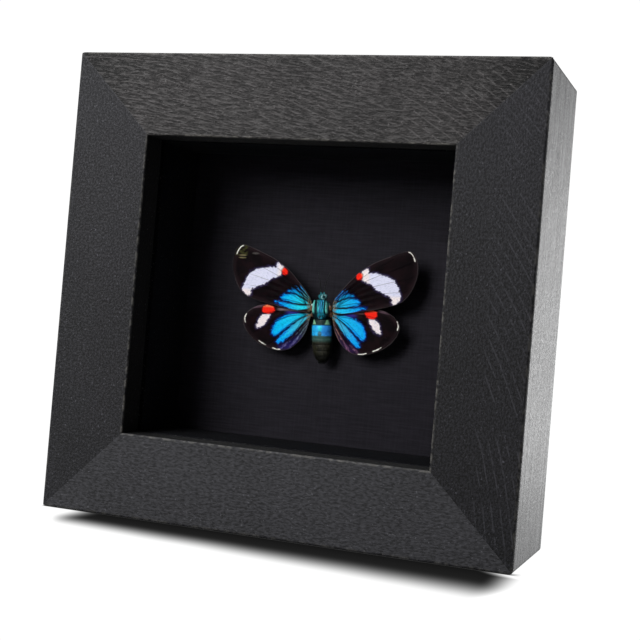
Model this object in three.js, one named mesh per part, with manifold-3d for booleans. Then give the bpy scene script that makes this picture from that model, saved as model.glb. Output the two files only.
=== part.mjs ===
// A moth specimen in a small black shadow-box frame, standing on its bottom edge.
// Millimetres. X runs across the frame, Z runs up, and the glazed front faces -Y.
// The origin is under the middle of the whole object, on the surface that it stands on.

import * as THREE from 'three';
import { mergeVertices } from 'three/addons/utils/BufferGeometryUtils.js';
import Module from 'manifold-3d';

const wasm = await Module();
wasm.setup();

// Moulding
const WIDTH = 127;
const HEIGHT = 123;
const WOOD_DEPTH = 41;
const RAIL = 22;
const LIP = 9;
const REBATE = 6.4;
const EASE = 0.8;
const SIGHT_EASE = 0.4;
const CORNER = 1.3;
const MITRE_GAP = 0.2;

// What the rebate holds, from the front: glass, spacers, mounting board, back panel, points
const GAP = 0.3;
const GLASS = 2;
const BOARD = 2.5;
const BOARD_DEPTH = 34.4;
const PANEL = 2.2;
const POINT = 0.7;
const POINT_WIDTH = 8;
const POINT_LENGTH = 13;
const POINT_BITE = 4;

// Hanger on the back of the top rail
const HANGER_LENGTH = 46;
const HANGER_HEIGHT = 9;
const HANGER_SHEET = 0.8;
const HANGER_RAISE = 0.9;
const HANGER_TAB = 9;
const HANGER_TEETH = 7;
const NAIL_RADIUS = 0.6;
const NAIL_HEAD = 1.7;
const NAIL_HEAD_THICKNESS = 0.6;
const NAIL_LENGTH = 9;

// Moth: x across the wings, y towards the head, z out of its back, from between the wing roots
const MOTH_X = 1.05;
const MOTH_UP = -2;
const MOTH_DEPTH = 29;
const BODY_LEAN = 0.055;
const WING_THICKNESS = 0.4;
const WING_SECTORS = 36;
const WING_RINGS = 6;
const WING_RISE = 1.3;
const WING_REACH = 26.5;
const FOREWING_TURN = 0.022;
const FOREWING_SHIFT = 0.25;
const HINDWING_TURN = 0.03;
const HINDWING_DROP = 0.75;
const VEIN_RADIUS = 0.14;
const THORAX_WIDTH = 5.2;
const THORAX_LENGTH = 6.4;
const THORAX_THICKNESS = 4.6;
const THORAX_Y = -0.9;
const THORAX_Z = -0.3;
const HEAD_Y = 2.7;
const EYE_X = 0.95;
const ABDOMEN_START = -3.2;
const ABDOMEN_LENGTH = 12;
const ABDOMEN_WIDTH = 6;
const ABDOMEN_FLATNESS = 0.8;
const ABDOMEN_RINGS = 7;
const ABDOMEN_DROOP = 0.12;
const LEG_RADIUS = 0.24;
const ANTENNA_RADIUS = 0.18;
const PIN_RADIUS = 0.35;
const PIN_BITE = 1.8;
const PIN_CLEARANCE = 0.45;

// Worked out from the values above
const HANGER_REACH = GAP + HANGER_RAISE + HANGER_SHEET;
const DEPTH = WOOD_DEPTH + HANGER_REACH;
const FRONT = -DEPTH / 2;
const WALL = RAIL - REBATE;
const BAY_WIDTH = WIDTH - 2 * WALL - 2 * GAP;
const BAY_HEIGHT = HEIGHT - 2 * WALL - 2 * GAP;
const GLASS_DEPTH = LIP + GAP;
const SPACER_DEPTH = GLASS_DEPTH + GLASS + GAP;
const SPACER_LENGTH = BOARD_DEPTH - GAP - SPACER_DEPTH;
const PANEL_DEPTH = BOARD_DEPTH + BOARD + GAP;
const POINT_DEPTH = PANEL_DEPTH + PANEL + GAP;
const MOTH_CLEARANCE = BOARD_DEPTH - MOTH_DEPTH;

const black_wood = new THREE.MeshStandardMaterial({ color: 0x2b2b2d, roughness: 0.55 });
const glass = new THREE.MeshStandardMaterial({
  color: 0xeef4f4, roughness: 0.03, transparent: true, opacity: 0.2,
});
const black_card = new THREE.MeshStandardMaterial({ color: 0x101013, roughness: 0.9 });
const linen_board = new THREE.MeshStandardMaterial({ color: 0x1d1b20, roughness: 0.85 });
const hardboard = new THREE.MeshStandardMaterial({ color: 0x6b4b30, roughness: 0.7 });
const steel = new THREE.MeshStandardMaterial({ color: 0xa7a9ab, roughness: 0.35, metalness: 1 });
const moth_scales = new THREE.MeshStandardMaterial({ color: 0x2a7f86, roughness: 0.5 });
const wing_scales = new THREE.MeshStandardMaterial({ color: 0x14181f, roughness: 0.6 });

// Solids from geometries, and back

function solid(geometry) {
  const bare = geometry.clone();
  for (const name of Object.keys(bare.attributes)) {
    if (name !== 'position') bare.deleteAttribute(name);
  }
  const merged = mergeVertices(bare, 1e-4);
  return new wasm.Manifold(new wasm.Mesh({
    numProp: 3,
    vertProperties: new Float32Array(merged.attributes.position.array),
    triVerts: new Uint32Array(merged.index.array),
  }));
}

function geometryOf(body) {
  const made = body.getMesh();
  const geometry = new THREE.BufferGeometry();
  geometry.setAttribute('position', new THREE.BufferAttribute(made.vertProperties, 3));
  geometry.setIndex(new THREE.BufferAttribute(made.triVerts, 1));
  const faceted = geometry.toNonIndexed();
  faceted.computeVertexNormals();
  return faceted;
}

function joined(geometries) {
  return geometries.map(solid).reduce((whole, part) => whole.add(part));
}

function piece(name, geometry, material) {
  const mesh = new THREE.Mesh(geometry, material);
  mesh.name = name;
  return mesh;
}

// A prism along Y, from an outline drawn in X and Z, between two distances from the front
function prismAlongDepth(shape, from, to) {
  const geometry = new THREE.ExtrudeGeometry(shape, {
    depth: to - from, bevelEnabled: false, curveSegments: 4,
  });
  geometry.rotateX(Math.PI / 2);
  geometry.translate(0, to, 0);
  return geometry;
}

function roundedRectangle(width, height, radius) {
  const x = width / 2;
  const z = height / 2;
  const shape = new THREE.Shape();
  shape.absarc(x - radius, z - radius, radius, 0, Math.PI / 2);
  shape.absarc(radius - x, z - radius, radius, Math.PI / 2, Math.PI);
  shape.absarc(radius - x, radius - z, radius, Math.PI, 1.5 * Math.PI);
  shape.absarc(x - radius, radius - z, radius, 1.5 * Math.PI, 2 * Math.PI);
  return shape;
}

// Moulding section: x from the outside edge inwards, y from the front face backwards
function mouldingSection() {
  const shape = new THREE.Shape();
  shape.absarc(EASE, EASE, EASE, Math.PI, 1.5 * Math.PI);
  shape.absarc(RAIL - SIGHT_EASE, SIGHT_EASE, SIGHT_EASE, 1.5 * Math.PI, 2 * Math.PI);
  shape.lineTo(RAIL, LIP);
  shape.lineTo(WALL, LIP);
  shape.lineTo(WALL, WOOD_DEPTH);
  shape.absarc(EASE, WOOD_DEPTH - EASE, EASE, Math.PI / 2, Math.PI);
  shape.closePath();
  return shape;
}

// The waste that a mitre saw takes off one end: everything beyond the 45 degree line
function mitreWaste(length, reach, side) {
  const start = length / 2 - MITRE_GAP / Math.SQRT2;
  const beyond = 2 * RAIL;
  const shape = new THREE.Shape();
  shape.moveTo(side * (start + beyond), -reach - beyond);
  shape.lineTo(side * (start - beyond), -reach + beyond);
  shape.lineTo(side * (start + beyond), -reach + beyond);
  shape.closePath();
  return prismAlongDepth(shape, -RAIL, WOOD_DEPTH + RAIL);
}

// One member, drawn as the bottom one, about the middle of the frame's front face
function member(length, reach, nailHoles) {
  const stick = new THREE.ExtrudeGeometry(mouldingSection(), {
    depth: length, bevelEnabled: false, curveSegments: 4,
  });
  stick.applyMatrix4(new THREE.Matrix4().makeBasis(
    new THREE.Vector3(0, 0, 1), new THREE.Vector3(0, 1, 0), new THREE.Vector3(-1, 0, 0),
  ));
  stick.translate(length / 2, 0, -reach);
  const outline = prismAlongDepth(
    roundedRectangle(length, 2 * reach, CORNER), -RAIL, WOOD_DEPTH + RAIL,
  );
  let body = solid(stick).intersect(solid(outline));
  for (const side of [-1, 1]) {
    body = body.subtract(solid(mitreWaste(length, reach, side)));
  }
  body = body.subtract(solid(pointPlate(reach, GAP)));
  for (const x of nailHoles) {
    const hole = new THREE.CylinderGeometry(NAIL_RADIUS + GAP, NAIL_RADIUS + GAP, 2 * NAIL_LENGTH, 12);
    hole.translate(x, WOOD_DEPTH, -reach + WALL / 2);
    body = body.subtract(solid(hole));
  }
  return geometryOf(body);
}

// A flat steel point that lies on the back panel, with its end driven into the wall of the rebate
function pointPlate(reach, clearance) {
  const end = -reach + WALL - POINT_BITE - clearance;
  const tip = end + POINT_LENGTH + clearance;
  const half = POINT_WIDTH / 2 + clearance;
  const shape = new THREE.Shape();
  shape.moveTo(-half, end + 1);
  shape.lineTo(-half + 1, end);
  shape.lineTo(half - 1, end);
  shape.lineTo(half, end + 1);
  shape.lineTo(half, tip - half);
  shape.absarc(0, tip - half, half, 0, Math.PI);
  shape.closePath();
  return prismAlongDepth(shape, POINT_DEPTH - clearance, POINT_DEPTH + POINT + clearance);
}

function plate(width, thickness, height, x, depth, z) {
  const geometry = new THREE.BoxGeometry(width, thickness, height);
  geometry.translate(x, depth + thickness / 2, z);
  return geometry;
}

// Bent strip with a toothed lower edge, its tabs nailed flat and its middle standing off the wood
function hangerStrip() {
  const base = WOOD_DEPTH + GAP;
  const end = HANGER_LENGTH / 2;
  const bend = end - HANGER_TAB;
  const rise = bend - 2;
  const outer = base + HANGER_SHEET;
  const strip = new THREE.Shape([
    [-end, base], [-bend, base], [-rise, base + HANGER_RAISE], [rise, base + HANGER_RAISE],
    [bend, base], [end, base], [end, outer], [bend, outer],
    [rise, outer + HANGER_RAISE], [-rise, outer + HANGER_RAISE], [-bend, outer], [-end, outer],
  ].map(([x, y]) => new THREE.Vector2(x, y)));
  const sheet = new THREE.ExtrudeGeometry(strip, { depth: HANGER_HEIGHT, bevelEnabled: false });
  sheet.translate(0, 0, -HANGER_HEIGHT / 2);
  let body = solid(sheet);
  const pitch = 2 * rise / HANGER_TEETH;
  for (let i = 0; i < HANGER_TEETH; i += 1) {
    const middle = -rise + pitch * (i + 0.5);
    const notch = new THREE.Shape();
    notch.moveTo(middle - 0.42 * pitch, -HANGER_HEIGHT / 2 - 1);
    notch.lineTo(middle + 0.42 * pitch, -HANGER_HEIGHT / 2 - 1);
    notch.lineTo(middle, -HANGER_HEIGHT / 2 + 2.4);
    notch.closePath();
    body = body.subtract(solid(prismAlongDepth(notch, WOOD_DEPTH, DEPTH + 1)));
  }
  for (const x of nailPlaces()) {
    const hole = new THREE.CylinderGeometry(NAIL_RADIUS + GAP, NAIL_RADIUS + GAP, 2 * NAIL_LENGTH, 12);
    hole.translate(x, WOOD_DEPTH, 0);
    body = body.subtract(solid(hole));
  }
  return geometryOf(body);
}

function nailPlaces() {
  const place = (HANGER_LENGTH - HANGER_TAB) / 2;
  return [-place, place];
}

function nail() {
  const under = WOOD_DEPTH + 2 * GAP + HANGER_SHEET;
  const tip = under - NAIL_LENGTH;
  const profile = [
    [0, tip], [NAIL_RADIUS, tip + 1.5], [NAIL_RADIUS, under], [NAIL_HEAD, under],
    [NAIL_HEAD, under + NAIL_HEAD_THICKNESS / 2], [0.7 * NAIL_HEAD, under + NAIL_HEAD_THICKNESS],
    [0, under + NAIL_HEAD_THICKNESS],
  ];
  return new THREE.LatheGeometry(profile.map(([r, y]) => new THREE.Vector2(r, y)), 12);
}

// Wings. An outline runs from the root along the front edge, round the margin and back.

const FOREWING = {
  outline: [
    [3.1, 1.2], [3.9, 3.1], [6.6, 6.3], [10.2, 9.9], [14.2, 12.6], [18.8, 14.6], [23.2, 16.1],
    [25.1, 15.6], [26.2, 13.4], [26.5, 10.4], [25.8, 7.2], [24.0, 3.9], [21.6, 2.0],
    [16.4, 0.4], [10.6, -0.7], [6.0, -1.5], [4.0, -1.6], [3.1, -0.9],
  ],
  centre: [16, 7],
  root: [4.4, 0.4],
  veins: [
    [[8.2, 6.4], [19.8, 14.2]], [[9.6, 6.2], [24.8, 13.2]], [[10.4, 4.9], [25.8, 9.4]],
    [[10.4, 3.5], [24.2, 5.4]], [[10, 1.6], [20.6, 2.5]],
  ],
};
const HINDWING = {
  outline: [
    [3.1, -1.0], [7.2, 0.2], [11.5, 0.7], [15.0, 0.3], [18.2, -0.4], [20.6, -1.7], [22.1, -3.4],
    [22.4, -5.0], [21.4, -7.4], [19.2, -9.7], [16.2, -11.4], [12.6, -12.3], [9.8, -12.2],
    [7.5, -11.1], [5.5, -9.0], [4.1, -6.4], [3.4, -3.8], [3.0, -2.2],
  ],
  centre: [13, -5.2],
  root: [4.4, -2.2],
  veins: [
    [[10.4, -1.4], [20.8, -3.2]], [[10.2, -3.2], [19.8, -8.0]], [[8.6, -4.8], [14.8, -10.8]],
    [[6.2, -5.2], [9.4, -11.0]],
  ],
};

// How high a wing's middle plane lies, so far out from the body
function rise(x) {
  return WING_RISE * Math.sin(Math.abs(x) / WING_REACH * Math.PI / 2);
}

function wing({ outline, centre, root, veins }, side) {
  const ordered = side > 0 ? outline.toReversed() : outline;
  const margin = new THREE.SplineCurve(
    [...ordered, ordered[0]].map(([x, y]) => new THREE.Vector2(side * x, y)),
  ).getSpacedPoints(WING_SECTORS);
  const middle = new THREE.Vector2(side * centre[0], centre[1]);
  const blade = new THREE.SphereGeometry(1, WING_SECTORS, WING_RINGS);
  const place = blade.attributes.position;
  for (let i = 0; i < place.count; i += 1) {
    const height = THREE.MathUtils.clamp(2 * place.getY(i), -1, 1);
    const out = Math.hypot(place.getX(i), place.getZ(i));
    const point = middle.clone().lerp(margin[i % (WING_SECTORS + 1)], out);
    place.setXYZ(i, point.x, point.y, height * WING_THICKNESS / 2 + rise(point.x));
  }
  const tubes = veins.map(([mid, tip]) => vein(side, root, mid, tip));
  return geometryOf(joined([blade, ...tubes]));
}

// A raised vein from the wing's root, through a point on the wing, to near the margin
function vein(side, root, mid, tip) {
  const points = [root, mid, tip].map(([x, y]) => (
    new THREE.Vector3(side * x, y, rise(x) + WING_THICKNESS / 2)
  ));
  return tube(new THREE.CatmullRomCurve3(points), VEIN_RADIUS, 5, 5);
}

function tube(path, radius, sides, steps) {
  const section = new THREE.Shape();
  for (let i = 0; i < sides; i += 1) {
    const angle = 2 * Math.PI * i / sides;
    const x = radius * Math.cos(angle);
    const y = radius * Math.sin(angle);
    if (i === 0) section.moveTo(x, y);
    else section.lineTo(x, y);
  }
  section.closePath();
  return new THREE.ExtrudeGeometry(section, { extrudePath: path, steps, bevelEnabled: false });
}

// Body, along y from the head to the tip of the abdomen

function ball(width, length, thickness, x, y, z, around) {
  const geometry = new THREE.SphereGeometry(0.5, around, Math.ceil(around * 0.6));
  geometry.rotateX(Math.PI / 2);
  geometry.scale(width, length, thickness);
  geometry.translate(x, y, z);
  return geometry;
}

// Rings of the abdomen, each swelling a little between its joints, on a tapered spindle
function abdomen() {
  const taper = new THREE.SplineCurve([
    [0, 0.8], [0.3, 1], [0.62, 0.94], [0.86, 0.66], [1, 0.24],
  ].map(([along, width]) => new THREE.Vector2(along, width)));
  const profile = [new THREE.Vector2(0, -ABDOMEN_LENGTH)];
  for (let i = ABDOMEN_RINGS - 1; i >= 0; i -= 1) {
    for (const [along, swell] of [[0.94, 0.96], [0.5, 1.03], [0.06, 0.96]]) {
      const place = taper.getPoint((i + along) / ABDOMEN_RINGS);
      profile.push(new THREE.Vector2(swell * place.y * ABDOMEN_WIDTH / 2, -place.x * ABDOMEN_LENGTH));
    }
  }
  profile.push(new THREE.Vector2(0, 0));
  const geometry = new THREE.LatheGeometry(profile, 16);
  geometry.scale(1, 1, ABDOMEN_FLATNESS);
  return geometry;
}

function legs() {
  const pairs = [
    [[0.6, 0.9, -1.6], [0.9, 1.6, -2.9], [0.8, 0.8, -3.5], [1.0, -0.2, -3.7]],
    [[0.9, -1.0, -1.8], [1.6, -1.6, -3.5], [1.3, -3.6, -4.2], [1.0, -5.8, -4.3]],
    [[0.8, -2.4, -1.8], [1.6, -3.4, -3.9], [1.0, -6.2, -4.6], [0.6, -9.2, -4.8]],
  ];
  return [-1, 1].flatMap((side) => pairs.map((points) => tube(
    new THREE.CatmullRomCurve3(points.map(([x, y, z]) => new THREE.Vector3(side * x, y, z))),
    LEG_RADIUS, 5, 7,
  )));
}

function antennae() {
  return [-1, 1].map((side) => tube(
    new THREE.CatmullRomCurve3([
      new THREE.Vector3(side * 0.45, 3.3, 0.2),
      new THREE.Vector3(side * 0.6, 5.2, 0.3),
      new THREE.Vector3(side * 1.0, 7.4, 0),
      new THREE.Vector3(side * 1.7, 9.6, -0.5),
    ]),
    ANTENNA_RADIUS, 5, 7,
  ));
}

function mothBody() {
  const tail = abdomen();
  tail.rotateX(ABDOMEN_DROOP);
  tail.translate(0, ABDOMEN_START, THORAX_Z - 0.1);
  return geometryOf(joined([
    tail,
    ball(THORAX_WIDTH, THORAX_LENGTH, THORAX_THICKNESS, 0, THORAX_Y, THORAX_Z, 18),
    ball(2.7, 2.6, 2.5, 0, HEAD_Y, -0.1, 12),
    ball(1.3, 1.4, 1.5, -EYE_X, HEAD_Y + 0.3, 0, 8),
    ball(1.3, 1.4, 1.5, EYE_X, HEAD_Y + 0.3, 0, 8),
    ...antennae(),
    ...legs(),
  ]));
}

function mountingPin() {
  const top = THORAX_Z - THORAX_THICKNESS / 2 - PIN_CLEARANCE;
  const foot = -MOTH_CLEARANCE - PIN_BITE;
  const pin = new THREE.CylinderGeometry(PIN_RADIUS, PIN_RADIUS, top - foot, 12);
  pin.rotateX(Math.PI / 2);
  pin.translate(0, THORAX_Y, (top + foot) / 2);
  return pin;
}

function mountBoard() {
  const board = plate(BAY_WIDTH, BOARD, BAY_HEIGHT, 0, BOARD_DEPTH, 0);
  const reach = 2 * (PIN_BITE + GAP);
  const hole = new THREE.CylinderGeometry(PIN_RADIUS + GAP, PIN_RADIUS + GAP, reach, 12);
  hole.translate(MOTH_X, BOARD_DEPTH, MOTH_UP + THORAX_Y);
  return geometryOf(solid(board).subtract(solid(hole)));
}

// Assembly

function mouldingMembers() {
  const made = new THREE.Group();
  const places = [
    ['rail_bottom', WIDTH, HEIGHT, 0, []],
    ['stile_left', HEIGHT, WIDTH, 1, []],
    ['rail_top', WIDTH, HEIGHT, 2, nailPlaces()],
    ['stile_right', HEIGHT, WIDTH, 3, []],
  ];
  for (const [name, length, across, quarter, holes] of places) {
    const mesh = piece(name, member(length, across / 2, holes), black_wood);
    mesh.rotation.y = quarter * Math.PI / 2;
    made.add(mesh);
  }
  return made;
}

function points() {
  const made = new THREE.Group();
  const places = [
    ['point_bottom', HEIGHT, 0],
    ['point_left', WIDTH, 1],
    ['point_top', HEIGHT, 2],
    ['point_right', WIDTH, 3],
  ];
  for (const [name, across, quarter] of places) {
    const mesh = piece(name, pointPlate(across / 2, 0), steel);
    mesh.rotation.y = quarter * Math.PI / 2;
    made.add(mesh);
  }
  return made;
}

function spacers() {
  const made = new THREE.Group();
  const thick = REBATE - GAP;
  const sideLength = BAY_HEIGHT - 2 * (thick + GAP);
  for (const [name, side] of [['spacer_bottom', -1], ['spacer_top', 1]]) {
    const z = side * (BAY_HEIGHT - thick) / 2;
    const strip = plate(BAY_WIDTH, SPACER_LENGTH, thick, 0, SPACER_DEPTH, z);
    made.add(piece(name, strip, black_card));
  }
  for (const [name, side] of [['spacer_left', -1], ['spacer_right', 1]]) {
    const x = side * (BAY_WIDTH - thick) / 2;
    const strip = plate(thick, SPACER_LENGTH, sideLength, x, SPACER_DEPTH, 0);
    made.add(piece(name, strip, black_card));
  }
  return made;
}

function hanger() {
  const made = new THREE.Group();
  made.position.z = HEIGHT / 2 - WALL / 2;
  made.add(piece('hanger', hangerStrip(), steel));
  nailPlaces().forEach((x, i) => {
    const mesh = piece(['hanger_nail_left', 'hanger_nail_right'][i], nail(), steel);
    mesh.position.x = x;
    made.add(mesh);
  });
  return made;
}

function moth() {
  const made = new THREE.Group();
  const body = piece('moth_body', mothBody(), moth_scales);
  body.rotation.z = BODY_LEAN;
  made.add(body);
  for (const [word, side] of [['left', -1], ['right', 1]]) {
    const forewing = piece(`forewing_${word}`, wing(FOREWING, side), wing_scales);
    forewing.position.x = FOREWING_SHIFT;
    forewing.rotation.z = FOREWING_TURN;
    const hindwing = piece(`hindwing_${word}`, wing(HINDWING, side), wing_scales);
    hindwing.position.z = -HINDWING_DROP;
    hindwing.rotation.z = HINDWING_TURN;
    made.add(forewing, hindwing);
  }
  made.add(piece('mounting_pin', mountingPin(), steel));
  made.rotation.x = Math.PI / 2;
  made.position.set(MOTH_X, MOTH_DEPTH, MOTH_UP);
  return made;
}

const specimen = new THREE.Group();
specimen.position.set(0, FRONT, HEIGHT / 2);
specimen.add(mouldingMembers());
specimen.add(piece('glass_pane', plate(BAY_WIDTH, GLASS, BAY_HEIGHT, 0, GLASS_DEPTH, 0), glass));
specimen.add(spacers());
specimen.add(piece('mount_board', mountBoard(), linen_board));
specimen.add(piece('back_panel', plate(BAY_WIDTH, PANEL, BAY_HEIGHT, 0, PANEL_DEPTH, 0), hardboard));
specimen.add(points());
specimen.add(hanger());
specimen.add(moth());

export default specimen;
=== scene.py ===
"""Framed moth specimen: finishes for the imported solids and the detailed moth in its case."""

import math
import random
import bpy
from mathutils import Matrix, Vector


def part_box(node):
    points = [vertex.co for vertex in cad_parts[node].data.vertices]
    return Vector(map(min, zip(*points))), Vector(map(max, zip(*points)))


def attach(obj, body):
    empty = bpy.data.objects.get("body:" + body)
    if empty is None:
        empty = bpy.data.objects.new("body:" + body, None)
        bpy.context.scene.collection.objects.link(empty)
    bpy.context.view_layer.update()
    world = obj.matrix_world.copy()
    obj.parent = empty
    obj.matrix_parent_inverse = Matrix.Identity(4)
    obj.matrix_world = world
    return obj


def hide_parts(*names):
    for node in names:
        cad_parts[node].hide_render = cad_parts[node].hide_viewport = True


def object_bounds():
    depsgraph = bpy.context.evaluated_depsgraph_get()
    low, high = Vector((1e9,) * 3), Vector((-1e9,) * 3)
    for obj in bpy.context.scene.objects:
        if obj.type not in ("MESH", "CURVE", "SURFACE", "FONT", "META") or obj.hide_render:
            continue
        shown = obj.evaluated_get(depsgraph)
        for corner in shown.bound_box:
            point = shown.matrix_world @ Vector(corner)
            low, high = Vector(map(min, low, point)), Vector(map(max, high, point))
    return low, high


bl_info = {
    "name": "Framed moth specimen",
    "version": (1, 0, 0),
    "blender": (4, 5, 0),
    "location": "3D View > Sidebar > Specimen",
    "description": "Dresses a small shadow-box frame and builds the spread moth that is pinned in it",
    "category": "Object",
}

import bmesh
import bpy
import numpy as np
from bpy.props import FloatProperty, FloatVectorProperty, IntProperty, PointerProperty
from mathutils import Matrix, Vector

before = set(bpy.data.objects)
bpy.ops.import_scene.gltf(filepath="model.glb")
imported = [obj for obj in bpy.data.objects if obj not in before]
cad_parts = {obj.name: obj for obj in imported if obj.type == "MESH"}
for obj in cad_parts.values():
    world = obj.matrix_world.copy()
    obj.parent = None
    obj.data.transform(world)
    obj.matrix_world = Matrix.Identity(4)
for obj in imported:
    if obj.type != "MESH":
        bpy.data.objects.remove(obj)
CAD_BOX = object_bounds()

MM = 0.001

# The frame as the solids have it, in millimetres
HALF_WIDTH = CAD_BOX[1].x / MM
MIDDLE_HEIGHT = CAD_BOX[1].z / MM / 2
FRONT = CAD_BOX[0].y / MM
FACE = (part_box("stile_left")[1].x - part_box("stile_left")[0].x) / MM
WOOD_DEPTH = 41.0
LIP = 9.0
REBATE = 6.4
EASE, SIGHT_EASE = 0.8, 0.4
SAW_PITCH = 2.1

# The glue in a mitre: half its thickness, and how far it stays inside the solids' section
GLUE_HALF = 0.098
GLUE_SINK = 0.012
GLUE_INSET = 0.42

# The moth's own axes: x across the wings, y towards the head, z out of its back
MOTH_X, MOTH_DEPTH, MOTH_DOWN = 1.05, 29.0, 2.0
MOTH_PLACE = Vector((MOTH_X, FRONT + MOTH_DEPTH, MIDDLE_HEIGHT - MOTH_DOWN))
BODY_LEAN = 0.055
WING_RISE = 1.3
WING_REACH = 26.5
SIDES = {"left": -1, "right": 1}

FOREWING = {
    "turn": 0.022,
    "shift": 0.25,
    "drop": 0.0,
    "outline": [
        (3.1, 1.2), (3.9, 3.1), (6.6, 6.3), (10.2, 9.9), (14.2, 12.6), (18.8, 14.6), (23.2, 16.1),
        (25.1, 15.6), (26.2, 13.4), (26.5, 10.4), (25.8, 7.2), (24.0, 3.9), (21.6, 2.0),
        (16.4, 0.4), (10.6, -0.7), (6.0, -1.5), (4.0, -1.6), (3.1, -0.9),
    ],
    "corners": (7, 12),
    "veins": [
        [(4.4, 0.4), (8.2, 6.4), (19.8, 14.2)],
        [(4.4, 0.4), (9.6, 6.2), (24.8, 13.2)],
        [(4.4, 0.4), (10.4, 4.9), (25.8, 9.4)],
        [(4.4, 0.4), (10.4, 3.5), (24.2, 5.4)],
        [(4.4, 0.4), (10.0, 1.6), (20.6, 2.5)],
    ],
    "grid": (84, 56),
}
HINDWING = {
    "turn": 0.03,
    "shift": 0.0,
    "drop": 0.75,
    "outline": [
        (3.1, -1.0), (7.2, 0.2), (11.5, 0.7), (15.0, 0.3), (18.2, -0.4), (20.6, -1.7), (22.1, -3.4),
        (22.4, -5.0), (21.4, -7.4), (19.2, -9.7), (16.2, -11.4), (12.6, -12.3), (9.8, -12.2),
        (7.5, -11.1), (5.5, -9.0), (4.1, -6.4), (3.4, -3.8), (3.0, -2.2),
    ],
    "corners": (6, 11),
    "veins": [
        [(4.4, -2.2), (10.4, -1.4), (20.8, -3.2)],
        [(4.4, -2.2), (10.2, -3.2), (19.8, -8.0)],
        [(4.4, -2.2), (8.6, -4.8), (14.8, -10.8)],
        [(4.4, -2.2), (6.2, -5.2), (9.4, -11.0)],
    ],
    "grid": (72, 64),
}

# Markings, as outlines in a wing's own millimetres: outwards from the body, and towards the head
FORE_BAND = [
    (10.9, 10.0), (11.6, 10.8), (12.7, 11.4), (13.3, 11.2), (13.4, 10.2), (14.5, 10.2), (15.6, 10.2),
    (17.0, 9.8), (18.1, 9.6), (19.2, 9.3), (19.9, 8.8), (20.7, 8.5), (21.2, 7.8), (21.8, 6.8),
    (22.1, 5.8), (22.6, 4.9), (22.9, 4.0), (22.7, 3.1), (22.0, 2.5), (21.5, 1.9), (20.9, 1.7),
    (20.3, 2.0), (20.1, 2.7), (20.2, 3.4), (19.7, 3.8), (18.8, 4.2), (17.5, 4.8), (16.2, 5.3),
    (15.2, 6.1), (14.5, 6.8), (13.3, 7.2), (12.3, 7.6), (11.6, 8.1), (11.4, 9.0),
]
FORE_RED = [
    (9.8, 8.8), (10.1, 9.6), (10.7, 10.1), (11.4, 9.9), (11.7, 9.2), (11.4, 8.4), (10.7, 8.1),
    (10.1, 8.2),
]
FORE_RAYS = [
    [
        (3.0, 0.1), (5.0, -0.05), (7.5, 0.1), (9.5, 0.4), (11.2, 0.65), (13.3, 0.75), (12.3, 0.25),
        (10.8, -0.35), (9.0, -0.95), (7.4, -1.25), (5.5, -1.2), (4.0, -0.9), (3.0, -0.5),
    ],
    [
        (3.0, 0.5), (5.0, 0.42), (7.5, 0.6), (9.5, 0.95), (11.0, 1.3), (11.5, 1.9), (10.8, 2.6),
        (9.2, 3.0), (7.2, 2.75), (5.6, 2.0), (4.2, 1.2),
    ],
    [(5.2, 2.2), (6.8, 3.0), (8.3, 3.4), (9.6, 3.4), (9.4, 3.9), (8.2, 4.1), (6.7, 3.8), (5.6, 3.0)],
]
FORE_STREAKS = [
    (3.6, 1.2), (4.8, 2.3), (6.2, 3.3), (8.0, 4.1), (7.6, 4.8), (6.4, 5.2), (5.2, 5.2), (4.2, 4.2),
    (3.4, 2.8),
]
HIND_SPOT = [
    (14.2, -2.4), (15.1, -2.4), (16.3, -2.7), (17.0, -3.3), (17.5, -4.1), (17.6, -4.9), (18.0, -5.8),
    (17.9, -6.5), (17.4, -6.7), (16.5, -6.3), (15.7, -5.7), (15.1, -4.8), (14.6, -4.0), (14.2, -3.2),
]
HIND_RED = [
    (12.9, -1.2), (13.3, -0.5), (14.3, -0.1), (15.4, -0.1), (16.2, -0.5), (16.5, -1.2), (16.4, -2.0),
    (15.7, -2.5), (14.6, -2.5), (13.5, -2.1),
]
HIND_RAYS = [
    [
        (3.2, -1.9), (5.0, -2.0), (7.0, -2.1), (8.8, -2.4), (10.5, -3.0), (11.7, -3.7), (12.6, -4.5),
        (13.1, -5.6), (13.5, -6.8), (13.5, -7.9), (12.9, -8.5), (11.9, -8.2), (10.6, -7.1),
        (9.2, -5.9), (7.6, -4.55), (6.0, -3.4), (4.6, -2.6),
    ],
    [
        (3.1, -2.3), (4.6, -2.9), (6.0, -3.75), (7.5, -4.95), (9.1, -6.45), (10.6, -7.9), (11.7, -9.2),
        (12.1, -10.1), (11.8, -10.5), (10.8, -10.2), (9.6, -9.4), (8.4, -8.3), (7.2, -7.1),
        (6.1, -5.9), (5.1, -4.6), (4.2, -3.6), (3.2, -2.7),
    ],
    [
        (3.2, -3.2), (4.4, -5.4), (5.8, -7.4), (7.2, -9.0), (8.6, -10.0), (10.4, -10.8), (11.6, -11.4),
        (10.6, -12.0), (8.8, -11.8), (7.0, -10.6), (5.4, -8.8), (4.2, -6.6), (3.4, -4.4),
    ],
]
# For each ray, how far from the root its colour turns from near to far, and how strongly it shows
RAY_TURNS = {
    "fore": [((4.0, 10.5), 1.0), ((3.0, 10.0), 1.0), ((2.0, 7.0), 0.7)],
    "hind": [((4.5, 12.5), 1.0), ((6.0, 13.0), 1.0)],
}
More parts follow.
